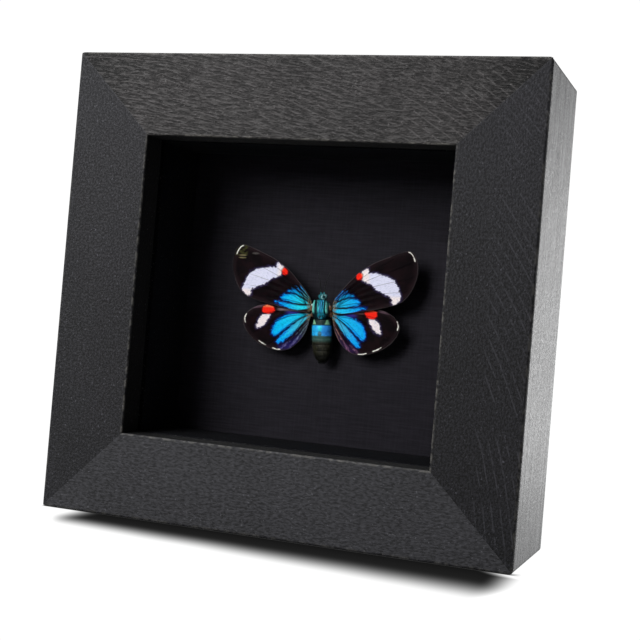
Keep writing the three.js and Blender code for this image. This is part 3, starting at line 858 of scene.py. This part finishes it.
def pale_mark(finish, kind, at, colour, settings):
    """A forewing's lilac-white band or a hindwing's spot, with a violet edge."""
    band = at.pale + at.combed * 1.1 + (at.fine - 0.5) * 0.8 + (at.scales - 0.5) * 0.3
    if kind == "fore":
        ends = (at.x.ease(13.8, 12.4) + at.y.ease(4.6, 3.2)).low(1.0)
    else:
        ends = at.y.ease(-8.0, -5.0) * 0.25 + 0.7
    lilac = finish.mix(ends, (*settings.band, 1.0), (*settings.band_end, 1.0))
    lilac = finish.mix(at.fine.ease(0.53, 0.63) * 0.35, lilac, paint(168, 172, 204))
    colour = finish.mix(band.ease(-0.60, 0.05) * 0.6, colour, paint(66, 56, 98))
    return finish.mix(band.ease(0.0, 0.26), colour, lilac)


def red_mark(finish, kind, at, colour, settings):
    """The red spot, more orange at one end."""
    spot = at.red + at.combed * 0.9 + (at.scales - 0.5) * 0.3
    if kind == "hind":
        orange = at.y.ease(-1.0, -0.2) * (1.0 - at.right * 0.6)
    else:
        orange = at.pale.ease(-0.1, 0.5)
    scarlet = finish.mix(orange * 0.75, (*settings.red, 1.0), paint(255, 156, 104))
    colour = finish.mix(spot.ease(-0.40, 0.02) * 0.7, colour, paint(96, 8, 10))
    return finish.mix(spot.ease(-0.06, 0.24), colour, scarlet)


def rubbed_tip(finish, at, colour):
    """Olive patches, two pale streaks and a scuff at the tip of the left forewing."""
    x, y, left = at.x, at.y, 1.0 - at.right
    tip = left * x.ease(22.0, 23.0) * y.ease(12.8, 13.6)
    moss = finish.grit(x * 0.9, y * 1.3, 4.0, 3.0)
    colour = finish.mix(moss.ease(0.42, 0.58) * tip * 0.85, colour, paint(64, 64, 32))
    off_streak = abs(y - 12.9) - 0.35
    streaks = (x - 23.8) * (x - 23.8) * 0.7 + off_streak * off_streak * 22.0
    colour = finish.mix(streaks.ease(1.3, 0.4) * left * 0.7, colour, paint(136, 126, 92))
    scuff = (x - 19.9) * (x - 19.9) * 0.8 + (y - 13.9) * (y - 13.9) * 9.0
    scuffed = scuff.ease(1.4, 0.3) * left * at.scales.ease(0.3, 0.6) * 0.7
    return finish.mix(scuffed, colour, paint(98, 92, 90))


def wing_finish(kind, settings):
    """Scales of one pair of wings: dark ground, bright rays, pale mark, red spot and fringe."""
    finish = Finish(kind + "wing_scales", Specular_IOR_Level=0.03)
    at = WingPlace(finish)
    shimmer = {"fore": fore_shimmer, "hind": hind_shimmer}[kind]
    colour = shimmer(finish, at, wing_ground(finish, at))
    colour = wing_rays(finish, kind, at, colour, settings)
    colour = pale_mark(finish, kind, at, colour, settings)
    colour = red_mark(finish, kind, at, colour, settings)
    if kind == "fore":
        colour = rubbed_tip(finish, at, colour)
    vein = at.part.ease(0.3, 0.9) * at.part.ease(1.9, 1.2)
    colour = finish.mix(vein * 0.55, colour, paint(14, 10, 18))
    colour = finish.mix(at.rim.ease(0.22, 0.04) * 0.32, colour, paint(104, 96, 98))
    broken = finish.grit(at.x * 1.6, at.y * 1.6, at.side, 1.0).ease(0.30, 0.48)
    fringe = (at.white_edge + at.combed * 0.3).ease(0.22, 0.08) * (broken * 0.7 + 0.3)
    finish.set("Base Color", finish.mix(fringe, colour, (*settings.white_fringe, 1.0)))
    finish.set("Roughness", 0.62 - 0.18 * at.scales)
    finish.bump(at.scales * 0.6 + at.fine * 0.4, 0.03, 0.5)
    return finish


def make_wings(settings):
    """The four wings, each in place of its solid."""
    for kind, form in (("fore", FOREWING), ("hind", HINDWING)):
        finish = wing_finish(kind, settings)
        for word, side in SIDES.items():
            bm, parts = wing_mesh(form, side, settings, random.Random(f"{kind} {word}"))
            places = np.array([vert.co for vert in bm.verts])
            carried = wing_attributes(kind, form, places, parts, side)
            place = moth_place(form["turn"], form["shift"], form["drop"])
            bmesh.ops.transform(bm, matrix=place, verts=bm.verts)
            node = f"{kind}wing_{word}"
            piece = finished_piece(node + "_scaled", bm, finish.material, [node])
            for name, values in carried.items():
                layer = piece.data.attributes.new(name, "FLOAT_VECTOR", "POINT")
                layer.data.foreach_set("vector", values.astype(np.float32).ravel())


# Body


def thorax_colour(finish, x, y, hair, cloud):
    """Dark scales with teal stripes, a teal patch behind them, and brown where the wings join."""
    dark = finish.mix(cloud.ease(0.35, 0.7), paint(3, 18, 24), paint(8, 40, 46))
    teal = finish.mix(hair.ease(0.35, 0.65), paint(10, 96, 110), paint(48, 186, 190))
    teal = finish.mix(abs(x - 0.45).ease(0.9, 0.3) * 0.6, teal, paint(26, 128, 190))
    ragged = x + (hair - 0.5) * 0.5
    stripes = 0.0
    for middle, half, strength in THORAX_STRIPES:
        stripes = stripes + abs(ragged - middle).ease(half + 0.22, half - 0.06) * strength
    stripes = stripes.low(1.0) * y.ease(-1.9, -1.2) * y.ease(2.2, 1.7)
    colour = finish.mix(stripes, dark, teal)
    pale_ends = (abs(ragged + 1.75).ease(0.35, 0.1) + abs(ragged - 2.0).ease(0.35, 0.1)) * stripes
    colour = finish.mix(pale_ends * 0.6, colour, paint(120, 196, 170))
    patch = root_of((x - 0.5) * 0.85, y + 2.35).ease(1.15, 0.6) * hair.ease(0.32, 0.6)
    colour = finish.mix(patch, colour, paint(18, 136, 160))
    joint = abs(x - 0.1).ease(2.0, 2.5) * y.ease(0.9, 0.0) * y.ease(-3.6, -2.6)
    colour = finish.mix(joint * cloud.ease(0.3, 0.6), colour, paint(116, 78, 54))
    glint = root_of(x + 2.5, y - 0.7).ease(0.45, 0.2)
    return finish.mix(glint, colour, paint(190, 210, 206))


def head_colour(finish, x, y, hair):
    """Dull teal, with a pale ring of painted highlight round the dark middle that the photo shows on one
    side.
    """
    crown = finish.mix(hair.ease(0.35, 0.6), paint(10, 50, 58), paint(44, 128, 138))
    off_middle = root_of(x - 0.9, y - 2.8)
    # Painted highlight: the pale ring stands in for light caught on the eye.
    eye_highlight_ring = abs(off_middle - 0.62).ease(0.32, 0.05) * hair.ease(0.3, 0.55)
    crown = finish.mix(eye_highlight_ring * 0.7, crown, paint(140, 178, 178))
    return finish.mix(off_middle.ease(0.42, 0.2), crown, paint(6, 18, 26))


def tail_colour(finish, y, hair):
    """Olive with dark grooves between the rings, greener in front and nearly black at the end."""
    olive = finish.mix(hair.ease(0.3, 0.7), paint(18, 18, 13), paint(48, 46, 33))
    seam = finish.node("Math", {"operation": "FRACT"}, {0: (0.0 - y - 3.2) / 1.72})
    groove = abs(seam - 0.5).ease(0.36, 0.49)
    olive = finish.mix(groove * 0.6, olive, paint(8, 9, 8))
    olive = finish.mix(y.ease(-9.9, -8.6), olive, paint(54, 88, 82))
    return finish.mix(y.ease(-11.5, -14.0) * 0.75, olive, paint(7, 8, 7))


def sky_band(finish, x, y, hair, cloud, colour):
    """The bright blue band round the abdomen, and the pale green tufts in front of it."""
    notch = root_of((x - 0.2) * 1.3, y + 7.3).ease(0.95, 0.5)
    blue = (y + (hair - 0.5) * 0.5).ease(-8.0, -7.6) * y.ease(-4.8, -5.1) * (1.0 - notch * 0.85)
    sky = finish.mix(x.ease(-1.0, 2.0), paint(42, 184, 246), paint(50, 152, 240))
    sky = finish.mix(root_of(x - 0.3, (y + 5.8) * 0.8).ease(0.9, 0.2) * 0.8, sky, paint(36, 222, 226))
    sky = finish.mix(cloud.ease(0.5, 0.7) * 0.5, sky, paint(20, 96, 190))
    colour = finish.mix(blue, colour, sky)
    tuft = abs(abs(x - 0.3) - 1.85) + (y + 4.6) * 0.35
    pale = (tuft + (hair - 0.5) * 0.6).ease(0.75, 0.35) * abs(y + 4.1).ease(0.75, 0.45)
    return finish.mix(pale * 0.95, colour, paint(140, 196, 152))


def body_finish():
    """Metallic teal thorax with dark stripes, a bright blue band, and an olive tail."""
    finish = Finish("body_scales", Specular_IOR_Level=0.22)
    row_x, row_y, row_z = finish.millimetres()
    across, up = row_x - MOTH_PLACE.x, row_z - MOTH_PLACE.z
    x = across * math.cos(BODY_LEAN) + up * math.sin(BODY_LEAN)
    y = up * math.cos(BODY_LEAN) - across * math.sin(BODY_LEAN)
    height = MOTH_PLACE.y - row_y
    scales = finish.grit(x * 7.0, y * 5.0, height * 7.0, 2.0)
    hair = finish.grit(x * 3.2, y * 0.9, height * 3.2, 3.0)
    cloud = finish.grit(x * 0.8, y * 0.8, height * 0.8, 3.0)

    colour = thorax_colour(finish, x, y, hair, cloud)
    colour = finish.mix(y.ease(1.9, 2.2), colour, head_colour(finish, x, y, hair))
    colour = finish.mix(y.ease(-3.4, -3.7), colour, tail_colour(finish, y, hair))
    waist = y.ease(-3.3, -3.6) * y.ease(-5.1, -4.8)
    colour = finish.mix(waist * 0.8, colour, paint(10, 26, 26))
    colour = sky_band(finish, x, y, hair, cloud, colour)
    underside = height.ease(-0.4, -1.4)
    colour = finish.mix(underside * 0.8, colour, paint(10, 14, 14))
    feelers = y.ease(3.9, 4.3)
    colour = finish.mix(feelers, colour, paint(9, 8, 10))
    flank = abs(x - 0.3).ease(2.62, 2.85) * y.ease(-3.6, -4.0)
    colour = finish.mix(flank * 0.9, colour, paint(12, 15, 16))
    finish.set("Base Color", colour)
    finish.set("Metallic", 0.15 * y.ease(-8.4, -7.6))
    finish.set("Roughness", 0.50 - 0.16 * scales)
    finish.bump(scales * 0.5 + hair, 0.10, 0.8)
    return finish


def abdomen_mesh():
    """The ringed abdomen, tapered and a little flat, hanging from the thorax."""
    length, rings, steps = 12.0, 7, 84
    widest = 2.92
    taper = along_spline([
        (0.0, 0.84), (0.25, 0.97), (0.62, 0.95), (0.86, 0.76), (0.97, 0.42), (1.0, 0.08),
    ], 200)
    shares = [i / steps for i in range(steps + 1)]
    radii = []
    for share in shares:
        swell = 0.97 + 0.04 * abs(math.sin(math.pi * rings * share)) ** 0.55
        radii.append(widest * float(np.interp(share, taper[:, 0], taper[:, 1])) * swell)
    bm = tube([(0.0, -length * share, 0.0) for share in shares], radii, 48)
    settle = (
        Matrix.Translation((0.25, -3.2, -0.4)) @ Matrix.Rotation(0.12, 4, "X")
        @ Matrix.Diagonal((1.0, 1.0, 0.8, 1.0))
    )
    bmesh.ops.transform(bm, matrix=settle, verts=bm.verts)
    return bm


def body_mesh(settings, chance):
    """Head, thorax, abdomen, feelers, palps, folded legs and hair, in the moth's own millimetres."""
    thorax = ball((0.0, -0.9, -0.3), (5.1, 6.4, 4.4), 64, 44)
    for vert in thorax.verts:
        ridge = 1 + 0.02 * math.cos(vert.co.x * 5.2) * (vert.co.z > 0)
        vert.co.x *= ridge
        vert.co.z = -0.3 + (vert.co.z + 0.3) * ridge
    forms = [
        abdomen_mesh(), thorax,
        ball((HEAD_ASIDE, 2.7, -0.1), (2.2, 2.3, 2.2), 40, 28),
        ball((0.0, -2.9, 0.6), (2.6, 2.2, 2.0), 32, 20),
    ]
    for side in SIDES.values():
        lean = Matrix.Rotation(0.10 * side, 4, "Z")
        forms += [
            ball((side * 1.75, -0.3, 0.95), (1.15, 4.5, 1.3), 28, 24, lean),
            ball((side * 0.55, -0.3, 1.35), (0.95, 4.2, 1.1), 28, 24),
            ball((side * 0.85, 1.55, 0.75), (1.5, 1.0, 1.3), 24, 16),
            ball((side * 0.8 + HEAD_ASIDE, 2.95, 0.0), (1.05, 1.3, 1.4), 28, 20),
            ball((side * 2.45, -0.1, 0.05), (1.5, 2.1, 0.8), 24, 16),
            ball((side * 2.45, -1.9, -0.45), (1.4, 1.7, 0.8), 24, 16),
        ]
        palp = ((0.35, 3.4, 0.1), (0.4, 3.9, 0.3), (0.4, 4.2, 0.6))
        feeler = ((0.45, 3.3, 0.3), (0.6, 5.2, 0.4), (1.0, 7.4, 0.1), (1.7, 9.6, -0.4))
        palp, feeler = (
            [(side * aside + HEAD_ASIDE, ahead, up) for aside, ahead, up in points]
            for points in (palp, feeler)
        )
        forms.append(tube(palp, [0.2, 0.2, 0.08]))
        thin = [settings.feeler / MM * (1.1 - 0.6 * (i / 40)) * (1 + 0.12 * (i % 2)) for i in range(41)]
        forms.append(tube(along_spline(feeler, 40), thin))
        for points in FOLDED_LEGS:
            leg = along_spline([(side * px, py, pz) for px, py, pz in points], 24)
            forms.append(tube(leg, [0.22 - 0.13 * i / 24 + 0.03 * (i in (8, 16)) for i in range(25)]))
    forms.append(hair(settings.hairs, chance))
    return merged(forms)


def hair(count, chance):
    """Short hair on the flanks of the thorax and abdomen, and a tuft on the tail."""
    bm = bmesh.new()
    for i in range(count):
        turn = chance.uniform(0, 2 * math.pi)
        if i % 3 == 0:
            along = chance.uniform(-3.8, 1.6)
            round_x, round_z = 2.5 * math.sqrt(max(0.05, 1 - ((along + 0.9) / 3.3) ** 2)), 2.1
            middle = -0.3
        elif i % 3 == 1:
            along = chance.uniform(-13.0, -4.0)
            round_x, round_z = 2.55 if along > -10.5 else 2.55 + (along + 10.5) * 0.36, 2.2
            middle = -0.4 + (along + 3.2) * 0.12
            turn = chance.choice((0.0, math.pi)) + chance.uniform(-0.7, 0.5)
        else:
            along = chance.uniform(-15.0, -14.2)
            round_x, round_z = 0.75, 0.6
            middle = -1.75
        root = Vector((round_x * math.cos(turn), along, middle + round_z * 0.9 * math.sin(turn)))
        out = Vector((math.cos(turn), -0.9 - 1.6 * (i % 3 == 2), 0.7 * math.sin(turn))).normalized()
        out += Vector([chance.uniform(-0.25, 0.25) for _ in range(3)])
        tip = root + out.normalized() * chance.uniform(0.35, 0.75)
        spike(bm, root, tip, 0.045, 0.01)
    return bm


def make_body(settings):
    """The moth's body, in place of its solid."""
    bm = body_mesh(settings, random.Random("body"))
    bmesh.ops.transform(bm, matrix=moth_place(BODY_LEAN), verts=bm.verts)
    finished_piece("moth_body_haired", bm, body_finish().material, ["moth_body"])


# Stage


def make_light(name, power):
    """One of the soft rectangular lights, which the camera doesn't see itself."""
    place, aim, size = LIGHTS[name]
    data = bpy.data.lights.new(name + "_light", "AREA")
    data.shape = "RECTANGLE"
    data.size, data.size_y = size
    data.energy = power
    light = bpy.data.objects.new(name + "_light", data)
    light.location = place
    light.rotation_euler = (Vector(aim) - Vector(place)).to_track_quat("-Z", "Y").to_euler()
    light.visible_camera = False
    bpy.context.scene.collection.objects.link(light)


def floor_finish(settings):
    """White where the camera sees it, with a painted soft shadow at the frame's foot."""
    finish = Finish("pale_floor", Roughness=1.0, Specular_IOR_Level=0.0, Emission_Strength=settings.backdrop)
    x, y, _ = finish.millimetres()
    # Painted shadow: the soft shadow in front of the frame and a thin one round its foot are painted into the
    # floor's white, so lamps don't move them.
    ahead = FRONT - y
    wander = finish.grit(x * 0.03, y * 0.03, 0.0, 1.0) - 0.5
    longer_to_the_right = (1.0 + 0.0047 * x + 0.12 * wander).high(0.3)
    reach = ahead / (settings.shadow / MM * longer_to_the_right)
    fade = reach.ease(0.33, 1.45) ** 2.0 + 0.008 + 0.012 * reach
    near_edge = (4.0 - ahead).high(0.0)
    ends = x.ease(-43.0, -55.0) ** 3.0 + (x + near_edge).ease(57.5, 67.0) ** 2.0
    beside = (x - HALF_WIDTH).high((x + HALF_WIDTH) * -6.0).high(y + FRONT)
    close = beside.high(ahead * -1.0 - 2.0).ease(-2.0, 2.2)
    painted_floor_light = (fade + ends).low(1.0) * ahead.ease(-0.6, 0.2) + close * ahead.ease(0.2, -0.6)
    white_with_painted_shadow = finish.mix(painted_floor_light.low(1.0), paint(0, 0, 0), paint(255, 255, 255))
    finish.set("Emission Color", white_with_painted_shadow)
    finish.set("Base Color", paint(0, 0, 0))
    path = finish.node("LightPath", output="Is Camera Ray")
    path = (path + finish.node("LightPath", output="Is Glossy Ray") * 0.8).low(1.0)
    dim = finish.node("BsdfDiffuse", None, {"Color": (settings.bounce,) * 3 + (1.0,)})
    shown = Value(finish, finish.shader.outputs[0])
    both = finish.node("MixShader", None, {0: path, 1: dim, 2: shown})
    finish.feed(finish.tree.nodes["Material Output"].inputs["Surface"], both)
    return finish


def make_floor(settings):
    """A wide plane under the frame, which isn't part of the object."""
    bm = bmesh.new()
    bmesh.ops.create_grid(bm, x_segments=8, y_segments=8, size=settings.floor_size / 2)
    mesh = bpy.data.meshes.new("floor")
    bm.to_mesh(mesh)
    bm.free()
    mesh.materials.append(floor_finish(settings).material)
    floor = bpy.data.objects.new("floor", mesh)
    bpy.context.scene.collection.objects.link(floor)


def make_surroundings(settings):
    """White all round where the camera looks past the frame, and only faint as light."""
    world = bpy.data.worlds.new("studio")
    bpy.context.scene.world = world
    world.use_nodes = True
    nodes, links = world.node_tree.nodes, world.node_tree.links
    seen = nodes.new("ShaderNodeBackground")
    seen.inputs["Color"].default_value = (1.0, 1.0, 1.0, 1.0)
    seen.inputs["Strength"].default_value = settings.backdrop
    path = nodes.new("ShaderNodeLightPath")
    choice = nodes.new("ShaderNodeMixShader")
    ambient = nodes["Background"]
    ambient.inputs["Color"].default_value = (1.0, 1.0, 1.0, 1.0)
    ambient.inputs["Strength"].default_value = settings.ambient
    links.new(path.outputs["Is Camera Ray"], choice.inputs[0])
    links.new(ambient.outputs[0], choice.inputs[1])
    links.new(seen.outputs[0], choice.inputs[2])
    links.new(choice.outputs[0], nodes["World Output"].inputs["Surface"])


def make_camera(settings):
    """The photograph's camera, as fitted to the frame's corners."""
    data = bpy.data.cameras.new("camera")
    data.sensor_width = CAMERA_SENSOR
    data.lens = settings.lens
    data.shift_x, data.shift_y = CAMERA_SHIFT
    data.clip_start = 0.01
    camera = bpy.data.objects.new("camera", data)
    camera.location = CAMERA_PLACE
    turn, tilt, roll = (math.radians(angle) for angle in (CAMERA_TURN, CAMERA_TILT, CAMERA_ROLL))
    camera.rotation_mode = "QUATERNION"
    camera.rotation_quaternion = (
        Matrix.Rotation(turn, 3, "Z") @ Matrix.Rotation(math.pi / 2 + tilt, 3, "X")
        @ Matrix.Rotation(roll, 3, "Z")
    ).to_quaternion()
    bpy.context.scene.collection.objects.link(camera)
    bpy.context.scene.camera = camera


def make_stage(settings):
    """Pale floor, white surroundings, soft studio lights, and the photograph's camera."""
    make_floor(settings)
    make_surroundings(settings)
    for name in LIGHTS:
        make_light(name, getattr(settings, name))
    make_camera(settings)
    bpy.context.scene.view_settings.view_transform = "Standard"


# Settings, operators and panel


def amount(name, description, default, **limits):
    return FloatProperty(name=name, description=description, default=default, **limits)


def length(name, description, default):
    return amount(name, description, default, unit="LENGTH")


def power(name, description, default):
    return amount(name, description, default, unit="POWER")


def tint(name, description, default):
    return FloatVectorProperty(
        name=name, description=description, subtype="COLOR", size=3, min=0.0, max=1.0, default=default
    )


class MouldingSettings(bpy.types.PropertyGroup):
    grain_depth: length("Grain depth", "Depth of the grain's relief", 0.00010)
    wood_roughness: amount("Roughness", "Roughness of the black stain", 0.58, min=0, max=1)
    wood_gloss: amount("Gloss", "Strength of the stain's shine", 0.12, min=0, max=1)
    wear: amount("Edge wear", "How worn the front edges are", 0.5, min=0, max=1)


class CaseSettings(bpy.types.PropertyGroup):
    board_colour: tint("Board", "Colour of the linen board", (0.0106, 0.0092, 0.0130))
    glass_tint: tint("Glass", "Tint of the light that passes the glass", (0.985, 0.99, 0.99))
    glass_index: amount("Reflection", "Index that sets how strongly the glass reflects", 1.45, min=1.0)


class MothSettings(bpy.types.PropertyGroup):
    membrane: length("Wing thickness", "Thickness of the wings", 0.00014)
    vein_radius: length("Vein radius", "Radius of a vein at its root", 0.0001)
    fringe: length("Fringe", "Length of the longest scales of the fringe", 0.00022)
    feeler: length("Feeler radius", "Radius of a feeler at its root", 0.00014)
    hairs: IntProperty(name="Hairs", description="How many hairs the body has", default=900, min=0)
    ray_near: tint("Ray, near", "Colour of the rays near the body", (0.02, 0.76, 0.94))
    ray_far: tint("Ray, far", "Colour of the rays towards their tips", (0.0, 0.58, 1.0))
    ray_edge: tint("Ray, edge", "Colour along the edges of the rays", (0.0, 0.20, 0.95))
    band: tint("Pale marks", "Colour of the pale bands and spots", (0.83, 0.82, 1.0))
    band_end: tint("Pale ends", "Colour at the ends of the pale marks", (1.0, 0.88, 0.88))
    red: tint("Red spots", "Colour of the red spots", (1.0, 0.02, 0.008))
    white_fringe: tint("White fringe", "Colour of the white parts of the fringe", (0.86, 0.82, 0.75))


class StageSettings(bpy.types.PropertyGroup):
    floor_size: length("Floor", "Width of the floor", 4.0)
    shadow: length("Shadow", "How far the shadow reaches in front of the frame", 0.020)
    backdrop: amount("Backdrop", "Brightness of the white floor and backdrop", 1.05, min=0)
    bounce: amount("Bounce", "Share of light that the floor throws back on the frame", 0.06, min=0)
    ambient: amount("Surroundings", "Strength of the light from all round", 0.05, min=0)
    key: power("Key light", "Power of the light at the upper left", 19.0)
    top: power("Top light", "Power of the light overhead", 5.0)
    side: power("Side light", "Power of the light behind the right side", 3.3)
    table: power("Table light", "Power of the low light from the table", 0.24)
    lens: amount("Lens", "Focal length of the camera", 74.09, subtype="DISTANCE_CAMERA")


class SPECIMEN_OT_moulding(bpy.types.Operator):
    """Finish the four mitred members of the frame as black stained wood"""

    bl_idname = "specimen.moulding"
    bl_label = "Moulding"

    def execute(self, context):
        settings = context.scene.specimen_moulding
        for name, grain in GRAINS.items():
            dress([name], black_wood(name, grain, settings))
        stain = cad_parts["rail_bottom"].data.materials[0]
        for level, corner_z in (("top", 1), ("bottom", -1)):
            for word, corner_x in SIDES.items():
                glue = mitre_glue(corner_x, corner_z)
                finished_piece(f"glue_{level}_{word}", glue, stain, smooth=False)
        return {"FINISHED"}


class SPECIMEN_OT_case(bpy.types.Operator):
    """Finish the glass, the card spacers and the linen board"""

    bl_idname = "specimen.case"
    bl_label = "Glass, spacers and board"

    def execute(self, context):
        settings = context.scene.specimen_case
        dress(["glass_pane"], glass_finish(settings))
        dress(["spacer_top", "spacer_bottom", "spacer_left", "spacer_right"], card_finish())
        dress(["mount_board"], linen_finish(settings))
        return {"FINISHED"}


class SPECIMEN_OT_back(bpy.types.Operator):
    """Finish the back panel, and the steel points, hanger, nails and pin"""

    bl_idname = "specimen.back"
    bl_label = "Back and fixings"

    def execute(self, context):
        dress(["back_panel"], hardboard_finish())
        steel = ["point_top", "point_bottom", "point_left", "point_right"]
        steel += ["hanger", "hanger_nail_left", "hanger_nail_right", "mounting_pin"]
        dress(steel, steel_finish())
        return {"FINISHED"}


class SPECIMEN_OT_wings(bpy.types.Operator):
    """Build the four wings"""

    bl_idname = "specimen.wings"
    bl_label = "Wings"

    def execute(self, context):
        make_wings(context.scene.specimen_moth)
        return {"FINISHED"}


class SPECIMEN_OT_body(bpy.types.Operator):
    """Build the moth's body"""

    bl_idname = "specimen.body"
    bl_label = "Body"

    def execute(self, context):
        make_body(context.scene.specimen_moth)
        return {"FINISHED"}


class SPECIMEN_OT_stage(bpy.types.Operator):
    """Set the floor, the surroundings, the lights and the camera"""

    bl_idname = "specimen.stage"
    bl_label = "Stage"

    def execute(self, context):
        make_stage(context.scene.specimen_stage)
        return {"FINISHED"}


OPERATORS = (
    SPECIMEN_OT_stage, SPECIMEN_OT_moulding, SPECIMEN_OT_case, SPECIMEN_OT_back, SPECIMEN_OT_wings,
    SPECIMEN_OT_body,
)
SETTINGS = {
    "specimen_moulding": MouldingSettings,
    "specimen_case": CaseSettings,
    "specimen_moth": MothSettings,
    "specimen_stage": StageSettings,
}


class SPECIMEN_PT_panel(bpy.types.Panel):
    """Lists the pieces of the framed specimen"""

    bl_label = "Framed specimen"
    bl_idname = "SPECIMEN_PT_panel"
    bl_space_type = "VIEW_3D"
    bl_region_type = "UI"
    bl_category = "Specimen"

    def draw(self, context):
        for operator in OPERATORS:
            self.layout.operator(operator.bl_idname)
        for name, group in SETTINGS.items():
            box = self.layout.box()
            for prop in group.__annotations__:
                box.prop(getattr(context.scene, name), prop)


def register():
    for group in SETTINGS.values():
        bpy.utils.register_class(group)
    for operator in OPERATORS:
        bpy.utils.register_class(operator)
    bpy.utils.register_class(SPECIMEN_PT_panel)
    for name, group in SETTINGS.items():
        setattr(bpy.types.Scene, name, PointerProperty(type=group))


def unregister():
    for name in SETTINGS:
        delattr(bpy.types.Scene, name)
    for group in (SPECIMEN_PT_panel, *OPERATORS, *SETTINGS.values()):
        bpy.utils.unregister_class(group)


def main():
    """Makes the whole scene, in order."""
    register()
    bpy.ops.specimen.stage()
    bpy.ops.specimen.moulding()
    bpy.ops.specimen.case()
    bpy.ops.specimen.back()
    bpy.ops.specimen.wings()
    bpy.ops.specimen.body()


if __name__ == "__main__":
    main()
